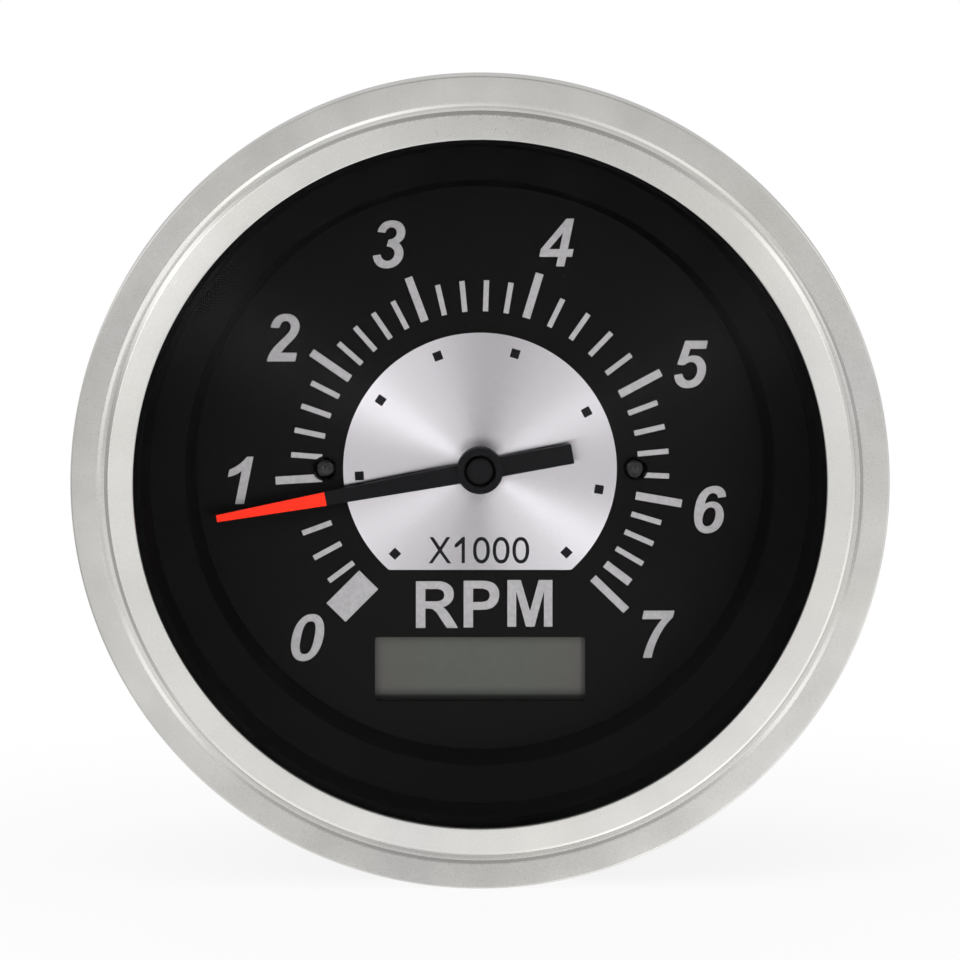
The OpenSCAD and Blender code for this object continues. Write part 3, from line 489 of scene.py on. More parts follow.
def make_finishes(sizes, colours):
    """Every finish by its slot name in the part's record."""
    return {
        "stainless": stainless(colours.steel, sizes),
        "lens_glass": clear_pane(),
        "rubber": moulded("rubber", (0.010, 0.010, 0.010), 0.7, 0.2),
        "case_plastic": moulded("case_plastic", colours.case, 0.5, 0.4, texture=0.0003, relief=0.35),
        "shroud_plastic": moulded("shroud_plastic", colours.shroud, 0.55, 0.04, mottle=0.15),
        "dial_black": dial_sheet(colours.dial),
        "spun_aluminium": spun(colours.disc),
        "scale_ink": printed("scale_ink", colours.print_grey),
        "square_ink": printed("square_ink", (0.012, 0.012, 0.014)),
        "black_screw": metal("black_screw", (0.050, 0.049, 0.051), 0.22, relief=0.03),
        "guide_acrylic": moulded("guide_acrylic", (0.75, 0.77, 0.78), 0.15, 0.5, mottle=0.02),
        "pointer_black": pointer_black(colours.pointer),
        "pointer_red": red_with_painted_glow(colours.tip),
        "steel": metal("steel", (0.55, 0.55, 0.56)),
        "magnet": moulded("magnet", (0.05, 0.05, 0.055), 0.6, 0.4, texture=0.0002, relief=0.4),
        "frame_plastic": moulded("frame_plastic", (0.72, 0.70, 0.62), 0.45),
        "bobbin_plastic": moulded("bobbin_plastic", (0.55, 0.38, 0.20), 0.45),
        "winding": wound_wire(),
        "brass": metal("brass", colours.brass, 0.28),
        "board": board_laminate(),
        "display": crystal(colours.display),
        "white_plastic": moulded("white_plastic", (0.74, 0.74, 0.72), 0.4),
        "strip": moulded("strip", (0.62, 0.42, 0.42), 0.6),
        "lamp": moulded("lamp", (0.80, 0.75, 0.45), 0.25, 0.5),
        "chip": moulded("chip", (0.02, 0.02, 0.021), 0.45),
        "capacitor_can": metal("capacitor_can", (0.78, 0.78, 0.79), 0.22),
        "switch_plastic": moulded("switch_plastic", (0.03, 0.07, 0.30), 0.4),
    }


def finish(slot):
    """The material that stands for a slot of the record."""
    return bpy.data.materials[slot + FINISH]


# Surfaces


def on_dial(x, y, z):
    """Points from dial coordinates (x right, y up, z towards the viewer) to the shared frame."""
    x, y, z = np.broadcast_arrays(x, y, z)
    return np.stack([x, -z, y], axis=-1)


def grid_quads(rows, columns, wrap_rows, wrap_columns):
    """Quads of a grid of points, and the same quads without the wrap, for its UVs."""
    i, j = np.meshgrid(
        np.arange(rows if wrap_rows else rows - 1),
        np.arange(columns if wrap_columns else columns - 1),
        indexing="ij",
    )
    i = np.stack([i, i + 1, i + 1, i], axis=-1).reshape(-1, 4)
    j = np.stack([j, j, j + 1, j + 1], axis=-1).reshape(-1, 4)
    return (i % rows) * columns + j % columns, np.stack([j / columns, i / rows], axis=-1)


def grid_mesh(name, points, wrap_rows=False, wrap_columns=False, uv=None, sharp=SHARP):
    """A mesh from a grid of points: coincident points are welded, so poles and seams are closed,
    faces look outwards and edges sharper than the angle stay crisp."""
    rows, columns = points.shape[:2]
    quads, plain_uv = grid_quads(rows, columns, wrap_rows, wrap_columns)
    mesh = bpy.data.meshes.new(name)
    mesh.from_pydata(points.reshape(-1, 3).tolist(), [], quads.tolist())
    layer = mesh.uv_layers.new(name="UVMap")
    layer.data.foreach_set("uv", (plain_uv if uv is None else uv(quads, plain_uv)).astype(np.float32).ravel())
    return welded(mesh, sharp)


def welded(mesh, sharp=SHARP):
    """Welds coincident points, turns the faces outwards and shades smooth between crisp edges."""
    bm = bmesh.new()
    bm.from_mesh(mesh)
    bmesh.ops.remove_doubles(bm, verts=bm.verts, dist=1e-7)
    bmesh.ops.dissolve_degenerate(bm, edges=bm.edges, dist=1e-8)
    bmesh.ops.recalc_face_normals(bm, faces=bm.faces)
    bm.to_mesh(mesh)
    bm.free()
    mesh.shade_smooth()
    mesh.set_sharp_from_angle(angle=math.radians(sharp))
    return mesh


def joined(name, meshes):
    """One mesh from several."""
    bm = bmesh.new()
    for mesh in meshes:
        bm.from_mesh(mesh)
        bpy.data.meshes.remove(mesh)
    result = bpy.data.meshes.new(name)
    bm.to_mesh(result)
    bm.free()
    result.shade_smooth()
    result.set_sharp_from_angle(angle=math.radians(SHARP))
    return result


def add_piece(name, mesh, slot, body="instrument", replaces=()):
    """Puts a mesh in the scene with its finish, on the body it moves with."""
    piece = bpy.data.objects.new(name, mesh)
    bpy.context.scene.collection.objects.link(piece)
    mesh.materials.clear()
    mesh.materials.append(finish(slot))
    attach(piece, body)
    if replaces:
        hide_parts(*replaces)


def arc_corner(a, b, c, radius, steps):
    """Points of the arc of a radius that touches the lines a-b and b-c."""
    u, v = (a - b) / np.linalg.norm(a - b), (c - b) / np.linalg.norm(c - b)
    half = math.acos(np.clip(u @ v, -1, 1)) / 2
    centre = b + (u + v) / np.linalg.norm(u + v) * radius / math.sin(half)
    start, end = b + u * radius / math.tan(half) - centre, b + v * radius / math.tan(half) - centre
    first = math.atan2(start[1], start[0])
    turn = (math.atan2(end[1], end[0]) - first + math.pi) % (2 * math.pi) - math.pi
    t = first + turn * np.linspace(0, 1, steps + 1)
    return centre + radius * np.stack([np.cos(t), np.sin(t)], axis=-1)


def rounded(corners, steps=10):
    """A closed outline from corners given as (x, y, radius)."""
    points = [np.array(c[:2], float) for c in corners]
    out = []
    for k, (point, corner) in enumerate(zip(points, corners)):
        if corner[2] > 0:
            out.append(arc_corner(points[k - 1], point, points[(k + 1) % len(points)], corner[2], steps))
        else:
            out.append(point[None])
    return np.concatenate(out)


def turned_ring(name, profile, around=360):
    """A closed profile of (radius, height) carried once round the dial's axis:
    point(u, v) = radius(u) at angle v, height(u)."""
    t = np.linspace(0, 2 * math.pi, around, endpoint=False)
    r, z = profile[:, :1], profile[:, 1:]
    return grid_mesh(name, on_dial(r * np.cos(t), r * np.sin(t), z), True, True)


# Print


def smooth_run(points, steps=7):
    """A cubic through the points of one run, with each tangent taken from its neighbours."""
    chord = np.linalg.norm(np.diff(points, axis=0), axis=1)
    if len(points) == 2:
        return points[:1]
    slope = np.gradient(points, np.r_[0, np.cumsum(chord)], axis=0, edge_order=2)
    t = np.linspace(0, 1, steps, endpoint=False)[None, :, None]
    h = chord[:, None, None]
    p, q = points[:-1, None], points[1:, None]
    m, n = slope[:-1, None] * h, slope[1:, None] * h
    run = (2 * t**3 - 3 * t**2 + 1) * p + (t**3 - 2 * t**2 + t) * m
    return (run + (3 * t**2 - 2 * t**3) * q + (t**3 - t**2) * n).reshape(-1, 2)


def outline(*corners):
    """A closed outline from (x, y) points, smooth except at those with a third value."""
    turns = [k for k, point in enumerate(corners) if len(point) > 2]
    points = np.array([point[:2] for point in corners], float)
    runs = []
    for k, first in enumerate(turns):
        last = turns[(k + 1) % len(turns)] + (len(points) if k + 1 == len(turns) else 0)
        runs.append(smooth_run(points[np.arange(first, last + 1) % len(points)]))
    return np.concatenate(runs)


def oval(x, y, a, b, power):
    """A squared oval: |u/a| and |v/b| to the power add up to 1."""
    t = np.linspace(0, 2 * math.pi, 64, endpoint=False)
    c, s = np.cos(t), np.sin(t)
    return np.stack(
        [x + a * np.sign(c) * np.abs(c) ** (2 / power), y + b * np.sign(s) * np.abs(s) ** (2 / power)], axis=-1
    )


def straight(*points):
    """An outline with a corner at every point."""
    return np.array(points, float)


# Outlines of the signs, one unit high; a third value marks a corner
GLYPHS = {
    "0": [
        oval(0.33, 0.5, 0.33, 0.5, 2.2),
        oval(0.33, 0.497, 0.141, 0.348, 2.7),
    ],
    "1": [
        outline((0.265, 0, 1), (0.45, 0, 1), (0.45, 1, 1), (0.315, 1, 1), (0.19, 0.845), (0, 0.725, 1),
            (0, 0.572, 1), (0.14, 0.615), (0.265, 0.7, 1)),
    ],
    "2": [
        outline((0, 0.715, 1), (0.012, 0.815), (0.07, 0.93), (0.16, 0.985), (0.27, 1), (0.4, 0.975),
            (0.52, 0.89), (0.595, 0.76), (0.6, 0.64), (0.555, 0.51), (0.45, 0.375), (0.315, 0.182, 1),
            (0.655, 0.182, 1), (0.655, 0, 1), (0.062, 0, 1), (0.07, 0.105), (0.12, 0.24), (0.235, 0.405),
            (0.365, 0.565), (0.412, 0.645), (0.415, 0.735), (0.375, 0.81), (0.295, 0.85), (0.225, 0.83),
            (0.192, 0.765), (0.185, 0.7, 1)),
    ],
    "3": [
        outline((0, 0.765, 1), (0.02, 0.865), (0.085, 0.955), (0.19, 1), (0.315, 1), (0.43, 0.965),
            (0.535, 0.865), (0.583, 0.74), (0.567, 0.62), (0.487, 0.535, 1), (0.59, 0.42), (0.632, 0.29),
            (0.612, 0.16), (0.535, 0.06), (0.42, 0.008), (0.31, 0), (0.185, 0.03), (0.07, 0.125),
            (0, 0.265, 1), (0.158, 0.288, 1), (0.22, 0.195), (0.325, 0.155), (0.42, 0.2), (0.447, 0.285),
            (0.405, 0.395), (0.335, 0.442), (0.25, 0.462, 1), (0.262, 0.605, 1), (0.35, 0.625), (0.398, 0.68),
            (0.395, 0.775), (0.32, 0.85), (0.24, 0.855), (0.185, 0.815), (0.168, 0.745, 1)),
    ],
    "4": [
        straight((0.565, 1), (0.565, 0.362), (0.685, 0.362), (0.685, 0.2), (0.565, 0.2), (0.565, 0),
            (0.393, 0), (0.393, 0.2), (0, 0.2), (0, 0.36), (0.405, 1)),
        straight((0.393, 0.7), (0.393, 0.362), (0.175, 0.362)),
    ],
    "5": [
        outline((0.082, 1, 1), (0.552, 1, 1), (0.552, 0.83, 1), (0.222, 0.83, 1), (0.205, 0.665, 1),
            (0.3, 0.688), (0.41, 0.678), (0.53, 0.605), (0.62, 0.47), (0.643, 0.345), (0.62, 0.19),
            (0.54, 0.07), (0.42, 0.012), (0.315, 0), (0.19, 0.03), (0.075, 0.115), (0, 0.275, 1),
            (0.158, 0.305, 1), (0.205, 0.225), (0.3, 0.16), (0.4, 0.185), (0.458, 0.28), (0.452, 0.42),
            (0.385, 0.52), (0.3, 0.552), (0.22, 0.53), (0.165, 0.482, 1), (0.015, 0.5, 1)),
    ],
    "6": [
        outline((0.602, 0.775, 1), (0.575, 0.86), (0.49, 0.955), (0.385, 1), (0.26, 0.997), (0.15, 0.955),
            (0.06, 0.855), (0.01, 0.72), (0, 0.55), (0.02, 0.36), (0.08, 0.18), (0.19, 0.055), (0.32, 0.003),
            (0.44, 0.01), (0.565, 0.08), (0.635, 0.205), (0.645, 0.34), (0.61, 0.475), (0.53, 0.595),
            (0.415, 0.662), (0.31, 0.67), (0.197, 0.625, 1), (0.21, 0.76), (0.26, 0.838), (0.33, 0.853),
            (0.4, 0.82), (0.443, 0.752, 1)),
        oval(0.335, 0.35, 0.131, 0.199, 2.3),
    ],
    "7": [
        outline((0, 1, 1), (0.64, 1, 1), (0.64, 0.865, 1), (0.545, 0.735), (0.455, 0.54), (0.395, 0.32),
            (0.368, 0, 1), (0.185, 0, 1), (0.21, 0.26), (0.262, 0.48), (0.335, 0.675), (0.42, 0.822, 1),
            (0, 0.822, 1)),
    ],
    "R": [
        outline((0, 1, 1), (0.25, 1), (0.42, 1), (0.55, 0.995), (0.68, 0.945), (0.775, 0.85), (0.805, 0.725),
            (0.775, 0.595), (0.69, 0.5), (0.575, 0.448, 1), (0.655, 0.37), (0.74, 0.25), (0.89, 0, 1),
            (0.655, 0, 1), (0.52, 0.205), (0.415, 0.355), (0.345, 0.405), (0.255, 0.415), (0.2, 0.415, 1),
            (0.2, 0, 1), (0, 0, 1)),
        outline((0.2, 0.835, 1), (0.34, 0.835), (0.47, 0.832), (0.56, 0.8), (0.603, 0.71), (0.565, 0.61),
            (0.48, 0.575), (0.34, 0.57), (0.2, 0.57, 1)),
    ],
    "P": [
        outline((0, 1, 1), (0.22, 1), (0.38, 1), (0.52, 0.99), (0.66, 0.93), (0.74, 0.815), (0.755, 0.68),
            (0.715, 0.535), (0.62, 0.432), (0.5, 0.39), (0.36, 0.38), (0.2, 0.38, 1), (0.2, 0, 1), (0, 0, 1)),
        outline((0.2, 0.835, 1), (0.31, 0.835), (0.42, 0.83), (0.52, 0.785), (0.555, 0.69), (0.52, 0.595),
            (0.42, 0.55), (0.31, 0.545), (0.2, 0.545, 1)),
    ],
    "M": [
        straight((0, 1), (0.285, 1), (0.48, 0.33), (0.665, 1), (0.957, 1), (0.957, 0), (0.777, 0),
            (0.777, 0.76), (0.575, 0), (0.395, 0), (0.187, 0.76), (0.187, 0), (0, 0)),
    ],
    "thin X": [
        straight((0, 0), (0.14, 0), (0.425, 0.4), (0.71, 0), (0.85, 0), (0.495, 0.5), (0.815, 1), (0.675, 1),
            (0.425, 0.62), (0.175, 1), (0.035, 1), (0.355, 0.5)),
    ],
    "thin 1": [
        straight((0.265, 0), (0.39, 0), (0.39, 1), (0.3, 1), (0, 0.71), (0, 0.6), (0.09, 0.615),
            (0.265, 0.765)),
    ],
    "thin 0": [
        oval(0.32, 0.5, 0.32, 0.505, 2.15),
        oval(0.32, 0.5, 0.19, 0.375, 2.25),
    ],
}

# Where each printed sign's middle lies on the dial, in millimetres
NUMERAL_PLACES = [
    ("0", -20.59, -20.34), ("1", -28.51, -1.41), ("2", -23.39, 15.69), ("3", -10.79, 26.82),
    ("4", 9.10, 27.04), ("5", 25.10, 12.48), ("6", 27.42, -4.93), ("7", 21.29, -19.94),
]
LETTER_PLACES = [("R", -5.15, -16.36), ("P", 0.17, -16.30), ("M", 5.96, -16.21)]
FACTOR_PLACES = [
    ("thin X", -4.78, -9.79), ("thin 1", -2.41, -9.77), ("thin 0", 0.17, -9.79),
    ("thin 0", 2.52, -9.79), ("thin 0", 4.87, -9.79),
]


def filled(points, edges):
    """The triangles that fill flat closed outlines, as rows of point numbers."""
    mesh = bpy.data.meshes.new("fill")
    mesh.from_pydata(points.tolist(), edges.tolist(), [])
    bm = bmesh.new()
    bm.from_mesh(mesh)
    bmesh.ops.triangle_fill(bm, use_beauty=True, edges=bm.edges)
    bm.to_mesh(mesh)
    bm.free()
    corners = np.empty(len(mesh.loops), np.int32)
    mesh.loops.foreach_get("vertex_index", corners)
    bpy.data.meshes.remove(mesh)
    return corners.reshape(-1, 3)


def printed_sign(sign, x, y, height, slant, base, thick):
    """A sign's outlines, leant over and centred on a point, filled and raised by the ink's thickness."""
    loops = [np.stack([p[:, 0] + slant * p[:, 1], p[:, 1]], axis=-1) * height for p in GLYPHS[sign]]
    everything = np.concatenate(loops)
    shift = np.array([x, y]) - (everything.min(0) + everything.max(0)) / 2
    points = on_dial(*(everything + shift).T, base)
    starts = np.cumsum([0] + [len(loop) for loop in loops[:-1]])
    steps = [np.arange(len(loop)) for loop in loops]
    edges = np.concatenate([k + np.stack([n, np.roll(n, -1)], axis=-1) for k, n in zip(starts, steps)])
    sheet = filled(points, edges)
    walls = np.column_stack([edges, edges[:, ::-1] + len(points)])
    faces = sheet[:, ::-1].tolist() + (sheet + len(points)).tolist() + walls.tolist()
    mesh = bpy.data.meshes.new(sign)
    mesh.from_pydata(np.concatenate([points, points + on_dial(0, 0, thick)]).tolist(), [], faces)
    return welded(mesh)


def printed_row(name, places, height, slant, base, thick, slot):
    """One piece of print from several signs."""
    meshes = [printed_sign(sign, x * MM, y * MM, height, slant, base, thick) for sign, x, y in places]
    add_piece(name, joined(name, meshes), slot)


def front_of(node):
    """How far a piece's front stands towards the viewer."""
    return -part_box(node)[0].y


def back_of(node):
    """How far a piece's back stands towards the viewer."""
    return -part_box(node)[1].y


# Operators


class INSTRUMENT_OT_finishes(bpy.types.Operator):
    """Makes the finishes and gives each CAD node its own"""

    bl_idname = "instrument.finishes"
    bl_label = "Finishes"

    def execute(self, context):
        finishes = make_finishes(context.scene.instrument_sizes, context.scene.instrument_colours)
        slots = {p["node"]: p["material_slot"] for p in frame["record"]["subparts"]}
        for name, node in frame["nodes"].items():
            node.data.materials.clear()
            node.data.materials.append(finishes[slots[name]])
        return {"FINISHED"}


class INSTRUMENT_OT_bezel(bpy.types.Operator):
    """Turns the bezel: two sloping bands, a groove between them, a rounded lip and a rolled edge"""

    bl_idname = "instrument.bezel"
    bl_label = "Bezel"

    def execute(self, context):
        sizes = context.scene.instrument_sizes
        rim, top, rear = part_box("bezel")[1].x, front_of("bezel"), back_of("bezel")
        slope = math.tan(sizes.band_slope)
        drop = sizes.sheet / math.cos(sizes.band_slope)
        groove, half, flat = sizes.groove_radius, sizes.groove_width / 2, sizes.groove_floor / 2
        # the corner that the lip's round is cut from stands a little over the bezel's top
        lip_z = top + sizes.lip_round * (1 / math.tan(math.pi / 4 - sizes.band_slope / 2) - 1)

        def band(r):
            """Height of the inner band, which falls evenly from the lip."""
            return lip_z - (r - sizes.lip_radius) * slope

        fall = (band(groove) - sizes.band_edge) / (rim - groove)

        def outer(r):
            """Height of the outer band, which falls evenly from the groove to its edge at the rim."""
            return band(groove) - (r - groove) * fall

        deep = outer(groove + half) - sizes.groove_depth
        inner_r = rim - sizes.sheet
        inner_z = outer(inner_r) - sizes.sheet / math.cos(math.atan(fall))
        profile = rounded(
            [
                (rim - sizes.crimp_width, rear, 0),
                (rim, rear, sizes.edge_round),
                (rim, sizes.band_edge, sizes.shoulder_round),
                (groove + half, outer(groove + half), sizes.groove_round),
                (groove + flat, deep, sizes.groove_round),
                (groove - flat, deep + 2 * flat * math.tan(2 * sizes.band_slope), sizes.groove_round),
                (groove - half, band(groove - half), sizes.groove_round),
                (sizes.lip_radius, lip_z, sizes.lip_round),
                (sizes.lip_radius, lip_z - drop, 0),
                (groove, band(groove) - drop, 0),
                (inner_r, inner_z, max(sizes.shoulder_round - sizes.sheet, 0)),
                (inner_r, rear + sizes.sheet, sizes.edge_round - sizes.sheet),
                (rim - sizes.crimp_width, rear + sizes.sheet, 0),
            ]
        )
        add_piece("bezel_ring", turned_ring("bezel_ring", profile), "stainless", replaces=["bezel"])
        return {"FINISHED"}


class INSTRUMENT_OT_disc(bpy.types.Operator):
    """Spins the centre disc, with its flat lower edge and the brushing carried in its UVs"""

    bl_idname = "instrument.disc"
    bl_label = "Spun disc"

    def execute(self, context):
        """Point(u, v): angle v, radius from the shaft hole out to the circle or the flat, whichever is nearer."""
        low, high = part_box("dial_disc")
        radius, flat, front, back = high.x, -low.z, -low.y, -high.y
        hole, around, rings = context.scene.instrument_sizes.disc_hole, 480, 28
        t = np.linspace(0, 2 * math.pi, around, endpoint=False)
        reach = np.minimum(radius, flat / np.maximum(-np.sin(t), 1e-6))
        share = np.linspace(0, 1, rings)[:, None]
        r = hole + (reach - hole) * share
        r = np.concatenate([r[:1], r, r[-1:], r[:1]])
        z = np.concatenate([[back], np.full(rings, front), [back, back]])[:, None]

        def polar(quads, plain):
            """U runs out along the radius, across the brushing, and V round with the angle."""
            return np.stack([r.reshape(-1)[quads] / radius, plain[..., 0]], axis=-1)

        points = on_dial(r * np.cos(t), r * np.sin(t), z)
        mesh = grid_mesh("spun_disc", points, False, True, polar)
        add_piece("spun_disc", mesh, "spun_aluminium", replaces=["dial_disc"])
        return {"FINISHED"}


class INSTRUMENT_OT_print(bpy.types.Operator):
    """Prints the numerals, the unit under the disc and its factor on the disc"""

    bl_idname = "instrument.print"
    bl_label = "Numerals and lettering"

    def execute(self, context):
        sizes = context.scene.instrument_sizes
        dial, disc, ink = front_of("dial"), front_of("dial_disc"), sizes.print_height
        slant = math.tan(sizes.numeral_slant)
        printed_row("numerals", NUMERAL_PLACES, sizes.numeral_height, slant, dial, ink, "scale_ink")
        printed_row("unit_letters", LETTER_PLACES, sizes.letter_height, 0.0, dial, ink, "scale_ink")
        printed_row("factor_print", FACTOR_PLACES, sizes.factor_height, 0.0, disc, ink, "square_ink")
        return {"FINISHED"}


class INSTRUMENT_OT_screws(bpy.types.Operator):
    """Rounds the heads of the two screws that hold the dial"""

    bl_idname = "instrument.screws"
    bl_label = "Dial screws"

    def execute(self, context):
        """Point(u, v): angle v; up the shank, then over the head, whose radius goes with the cosine
        of u and its height over the dial with the sine."""
        sizes = context.scene.instrument_sizes
        low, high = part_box("dial_screws")
        dial, top, end = front_of("dial"), -low.y, -high.y
        u = np.linspace(0, math.pi / 2, 16)
        t = np.linspace(0, 2 * math.pi, 48, endpoint=False)
        shank = sizes.screw_shank
        r = np.concatenate([[0, shank, shank], sizes.screw_radius * np.cos(u)])[:, None]
        z = np.concatenate([[end, end, dial], dial + (top - dial) * np.sin(u)])[:, None]
        heads = [
            grid_mesh("head", on_dial(x + r * np.cos(t), r * np.sin(t), z), False, True, sharp=60)
            for x in (low.x + sizes.screw_radius, high.x - sizes.screw_radius)
        ]
        add_piece("screw_heads", joined("screw_heads", heads), "black_screw", replaces=["dial_screws"])
        return {"FINISHED"}


class INSTRUMENT_OT_threads(bpy.types.Operator):
    """Cuts the threads of the terminal and mounting studs on the back"""

    bl_idname = "instrument.threads"
    bl_label = "Threads"

    def thread(self, name, x, y, radius, start, end, pitch):
        """Point(u, v): angle v, depth u along the stud; the radius falls by a rounded V
        of the thread's depth where depth over pitch less angle over a turn is a half."""
        run, rows_a_turn, around = abs(end - start), 9, 40
        depth = np.linspace(0, 1, int(run / pitch * rows_a_turn))[:, None]
        t = np.linspace(0, 2 * math.pi, around, endpoint=False)
        phase = depth * run / pitch - t / (2 * math.pi)
        cut = THREAD_DEPTH * pitch * (0.5 - 0.5 * np.cos(2 * math.pi * phase)) ** 0.8
        fade = np.clip(np.minimum(depth, 1 - depth) * run / pitch, 0, 1)
        taper = np.clip(1 - (1 - depth) * run / pitch, 0, 1) * 0.5 * pitch
        r = radius - cut * fade - taper
        z = np.broadcast_to(start + (end - start) * depth, r.shape)
        r = np.concatenate([r[:1] * 0, r, r[-1:] * 0])
        z = np.concatenate([z[:1], z, z[-1:]])
        return grid_mesh(name, on_dial(x + r * np.cos(t), y + r * np.sin(t), z), False, True, sharp=50)

    def prism(self, name, x, y, flats, start, end, sides=HEXAGON):
        """A closed prism: point(u, v) = corner v at level u, with both ends drawn in to the axis."""
        t = np.linspace(0, 2 * math.pi, sides, endpoint=False)
        r = np.array([0, 1, 1, 0])[:, None] * flats / 2 / math.cos(math.pi / sides)
        z = np.array([start, start, end, end])[:, None]
        return grid_mesh(name, on_dial(x + r * np.cos(t), y + r * np.sin(t), z), False, True)

    def execute(self, context):
        sizes = context.scene.instrument_sizes
        wall, pad, board = -sizes.wall_depth, -sizes.pad_depth, back_of("circuit_board")
        front, end = front_of("terminal_studs"), back_of("terminal_studs")
        studs = []
        for turn in np.radians(TERMINAL_TURNS):
            x, y = sizes.terminal_circle * math.cos(turn), sizes.terminal_circle * math.sin(turn)
            studs.append(self.thread("stud", x, y, sizes.terminal_radius, front, end, sizes.terminal_pitch))
            studs.append(self.prism("spacer", x, y, sizes.spacer_flats, board, wall))
        add_piece("terminal_threads", joined("terminal_threads", studs), "brass", replaces=["terminal_studs"])
        front, end = front_of("mounting_studs"), back_of("mounting_studs")
        studs = []
        for x in (-sizes.mount_offset, sizes.mount_offset):
            studs.append(self.thread("stud", x, 0, sizes.mount_radius, pad, end, sizes.mount_pitch))
            studs.append(self.prism("shank", x, 0, sizes.shank_width, wall, pad, ROUND))
            studs.append(self.prism("head", x, 0, sizes.mount_flats, front, wall))
        add_piece("mounting_threads", joined("mounting_threads", studs), "steel", replaces=["mounting_studs"])
        return {"FINISHED"}


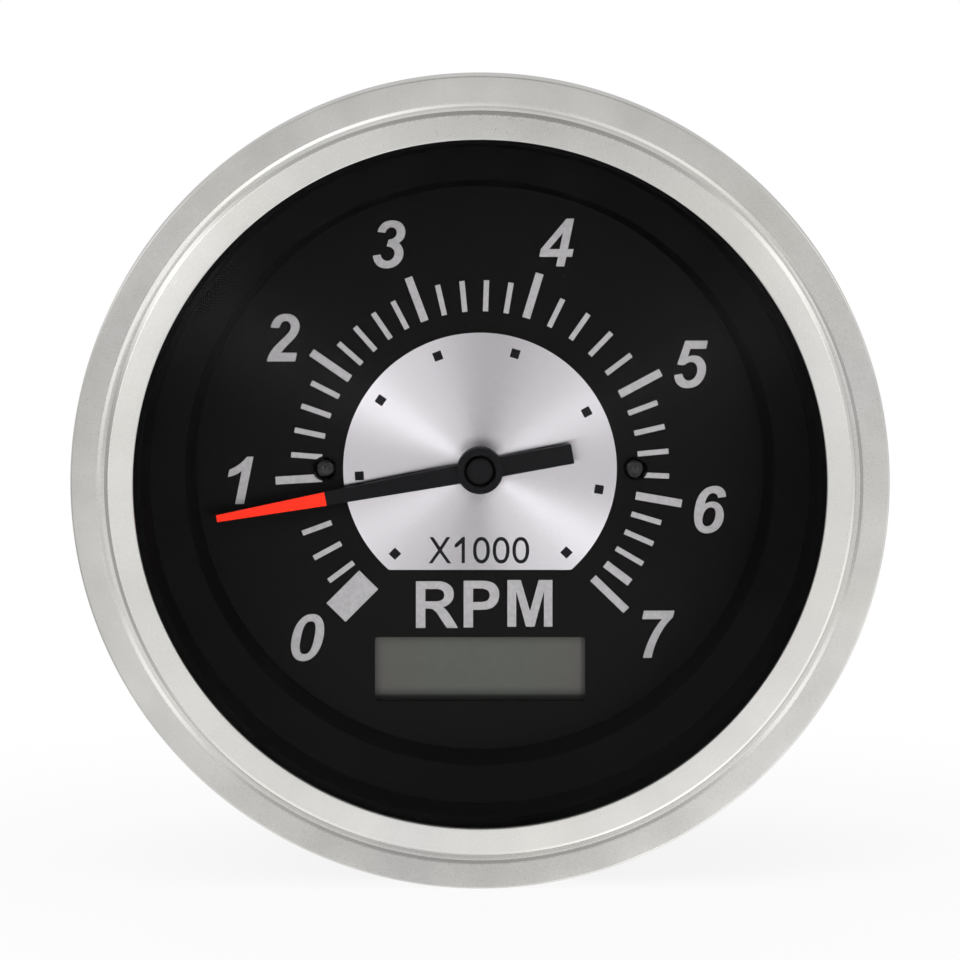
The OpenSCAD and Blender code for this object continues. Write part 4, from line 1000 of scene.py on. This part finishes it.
class INSTRUMENT_OT_stage(bpy.types.Operator):
    """Sets the floor, the soft lights, the white surroundings and the camera"""

    bl_idname = "instrument.stage"
    bl_label = "Studio stage"

    def execute(self, context):
        self.floor(context.scene.instrument_colours.floor)
        self.surroundings()
        for row in LAMPS:
            self.lamp(*row)
        self.camera()
        return {"FINISHED"}

    def floor(self, value):
        """White paper that shows the shadow beside the part and turns plain white for the camera further off."""
        s = Shader("studio_floor")
        grain = s.spread(s.noise(0.05, 3), 0, 1)
        paper = s.add(
            "ShaderNodeBsdfPrincipled",
            {"Base Color": s.mix(grain, shade(value, 0.99), value), "Roughness": 0.9, "Specular IOR Level": 0.0},
        ).outputs[0]
        away = s.add("ShaderNodeVectorMath", {0: s.coords}, operation="LENGTH").outputs["Value"]
        pale = s.rise(away, *FLOOR_FADE, FLOOR_NEAR, 1.0)
        seen = s.add("ShaderNodeLightPath").outputs["Is Camera Ray"]
        white = s.add("ShaderNodeEmission", {"Color": (1, 1, 1, 1), "Strength": 1.0}).outputs[0]
        s.output(s.add("ShaderNodeMixShader", {0: s.maths("MULTIPLY", pale, seen), 1: paper, 2: white}).outputs[0])
        far, low = FLOOR_REACH, CAD_BOX[0].z
        mesh = bpy.data.meshes.new("studio_floor")
        corners = [(-far, -far, low), (far, -far, low), (far, far, low), (-far, far, low)]
        mesh.from_pydata(corners, [], [(0, 1, 2, 3)])
        mesh.materials.append(s.material)
        floor = bpy.data.objects.new("studio_floor", mesh)
        bpy.context.scene.collection.objects.link(floor)
        floor.visible_glossy = False
        floor.visible_shadow = False

    def surroundings(self):
        """White where the camera looks. Metal and glass see a soft studio round the direction in which
        the flat dial mirrors the camera: a fan of pale panels near that direction and another to the
        sides, and broad panels between. Each panel adds amount times e to the power sharpness times
        (cosine less 1), with the cosine of the turn to it in a fan and of the angle to it elsewhere."""
        world = bpy.data.worlds.new("studio")
        bpy.context.scene.world = world
        world.use_nodes = True
        studio = Nodes(world.node_tree)
        maths = studio.maths
        direction = studio.add("ShaderNodeTexCoord").outputs["Generated"]
        tilt = math.radians(CAMERA_ELEVATION)
        ahead = np.array([0, -math.cos(tilt), -math.sin(tilt)])
        right = np.array([1.0, 0, 0])
        up = np.array([0, -math.sin(tilt), math.cos(tilt)])

        def along(axis):
            """Cosine of the angle to an axis."""
            pair = {0: direction, 1: tuple(axis)}
            return studio.add("ShaderNodeVectorMath", pair, operation="DOT_PRODUCT").outputs["Value"]

        def lobes(total, rows):
            """Adds amount times e to the power sharpness times (cosine less 1) for each row."""
            for cosine, sharpness, amount in rows:
                power = maths("EXPONENT", maths("MULTIPLY", maths("SUBTRACT", cosine, 1.0), sharpness))
                total = maths("ADD", maths("MULTIPLY", power, amount), total)
            return total

        u, v, w = along(right), along(up), along(ahead)
        wide = maths("ADD", maths("MULTIPLY", u, u), maths("MULTIPLY", v, v))
        wide = maths("MAXIMUM", maths("SQRT", wide), 1e-4)

        def fan(turn):
            """Cosine of the turn round the axis from a panel."""
            turn = math.radians(turn)
            sideways = maths("ADD", maths("MULTIPLY", u, math.cos(turn)), maths("MULTIPLY", v, math.sin(turn)))
            return maths("DIVIDE", sideways, wide)

        def panel(off_axis, turn):
            """Cosine of the angle to a panel."""
            off, turn = math.radians(off_axis), math.radians(turn)
            return along(ahead * math.cos(off) + (right * math.cos(turn) + up * math.sin(turn)) * math.sin(off))

        def within(outer, inner):
            """1 inside a cone round the axis, falling to 0 between two angles from it."""
            return studio.rise(w, math.cos(math.radians(outer)), math.cos(math.radians(inner)))

        def blend(share, a, b):
            """The first value in its share and the second in the rest."""
            return maths("ADD", maths("MULTIPLY", share, a), maths("MULTIPLY", maths("SUBTRACT", 1.0, share), b))

        near = lobes(NEAR_LEVEL, [(fan(turn), sharp, amount) for turn, sharp, amount in NEAR_PANELS])
        near = lobes(near, [(w, *HOLE)])
        far = lobes(FAR_LEVEL, [(panel(off, turn), sharp, amount) for off, turn, sharp, amount in FAR_PANELS])
        side = lobes(SIDE_LEVEL, [(fan(turn), sharp, amount) for turn, sharp, amount in SIDE_PANELS])
        seen = blend(within(*FAR_ZONE), far, blend(within(*SIDE_ZONE), side, BACK_LEVEL))
        seen = blend(within(*NEAR_ZONE), near, seen)
        seen = maths("MAXIMUM", seen, DARKEST)
        path = studio.add("ShaderNodeLightPath").outputs
        mirror = maths("MAXIMUM", path["Is Glossy Ray"], path["Is Transmission Ray"])
        strength = maths("ADD", maths("MULTIPLY", mirror, maths("SUBTRACT", seen, AMBIENT)), AMBIENT)
        camera = path["Is Camera Ray"]
        strength = maths("ADD", maths("MULTIPLY", strength, maths("SUBTRACT", 1.0, camera)), camera)
        light = studio.add("ShaderNodeBackground", {"Color": (1, 1, 1, 1), "Strength": strength})
        studio.add("ShaderNodeOutputWorld", {"Surface": light.outputs[0]})

    def lamp(self, name, place, size, power):
        """A square soft light that faces the dial."""
        light = bpy.data.lights.new(name, "AREA")
        light.shape = "SQUARE"
        light.size = size
        light.energy = power
        lamp = bpy.data.objects.new(name, light)
        bpy.context.scene.collection.objects.link(lamp)
        lamp.location = place
        lamp.rotation_mode = "QUATERNION"
        lamp.rotation_quaternion = (-lamp.location).to_track_quat("-Z", "Y")
        lamp.visible_glossy = False

    def camera(self):
        """From the front and a little above, far enough away that the rings stay nearly round."""
        camera = bpy.data.objects.new("camera", bpy.data.cameras.new("camera"))
        scene = bpy.context.scene
        scene.collection.objects.link(camera)
        scene.camera = camera
        elevation = math.radians(CAMERA_ELEVATION)
        x, y, z = CAMERA_TARGET
        camera.location = (
            x, y - CAMERA_DISTANCE * math.cos(elevation), z + CAMERA_DISTANCE * math.sin(elevation)
        )
        camera.rotation_euler = (math.pi / 2 - elevation, 0, 0)
        camera.data.sensor_width = SENSOR
        camera.data.lens = SENSOR * CAMERA_DISTANCE / VIEW_WIDTH
        camera.data.clip_start, camera.data.clip_end = 0.01, 100
        scene.view_settings.view_transform = "Standard"


STEPS = (
    INSTRUMENT_OT_finishes,
    INSTRUMENT_OT_bezel,
    INSTRUMENT_OT_disc,
    INSTRUMENT_OT_print,
    INSTRUMENT_OT_screws,
    INSTRUMENT_OT_threads,
    INSTRUMENT_OT_stage,
)


class INSTRUMENT_PT_panel(bpy.types.Panel):
    """Sizes, colours and the building steps"""

    bl_idname = "INSTRUMENT_PT_panel"
    bl_label = "Instrument"
    bl_space_type = "VIEW_3D"
    bl_region_type = "UI"
    bl_category = "Instrument"

    def draw(self, context):
        scene = context.scene
        for group in (scene.instrument_sizes, scene.instrument_colours):
            box = self.layout.box()
            for key in group.__annotations__:
                box.prop(group, key)
        for step in STEPS:
            self.layout.operator(step.bl_idname)


CLASSES = (InstrumentSizes, InstrumentColours, *STEPS, INSTRUMENT_PT_panel)


def register():
    for cls in CLASSES:
        bpy.utils.register_class(cls)
    bpy.types.Scene.instrument_sizes = bpy.props.PointerProperty(type=InstrumentSizes)
    bpy.types.Scene.instrument_colours = bpy.props.PointerProperty(type=InstrumentColours)


def unregister():
    del bpy.types.Scene.instrument_colours
    del bpy.types.Scene.instrument_sizes
    for cls in reversed(CLASSES):
        bpy.utils.unregister_class(cls)


def main():
    """Builds everything in order."""
    register()
    for step in STEPS:
        group, name = step.bl_idname.split(".")
        getattr(getattr(bpy.ops, group), name)()


if __name__ == "__main__":
    main()
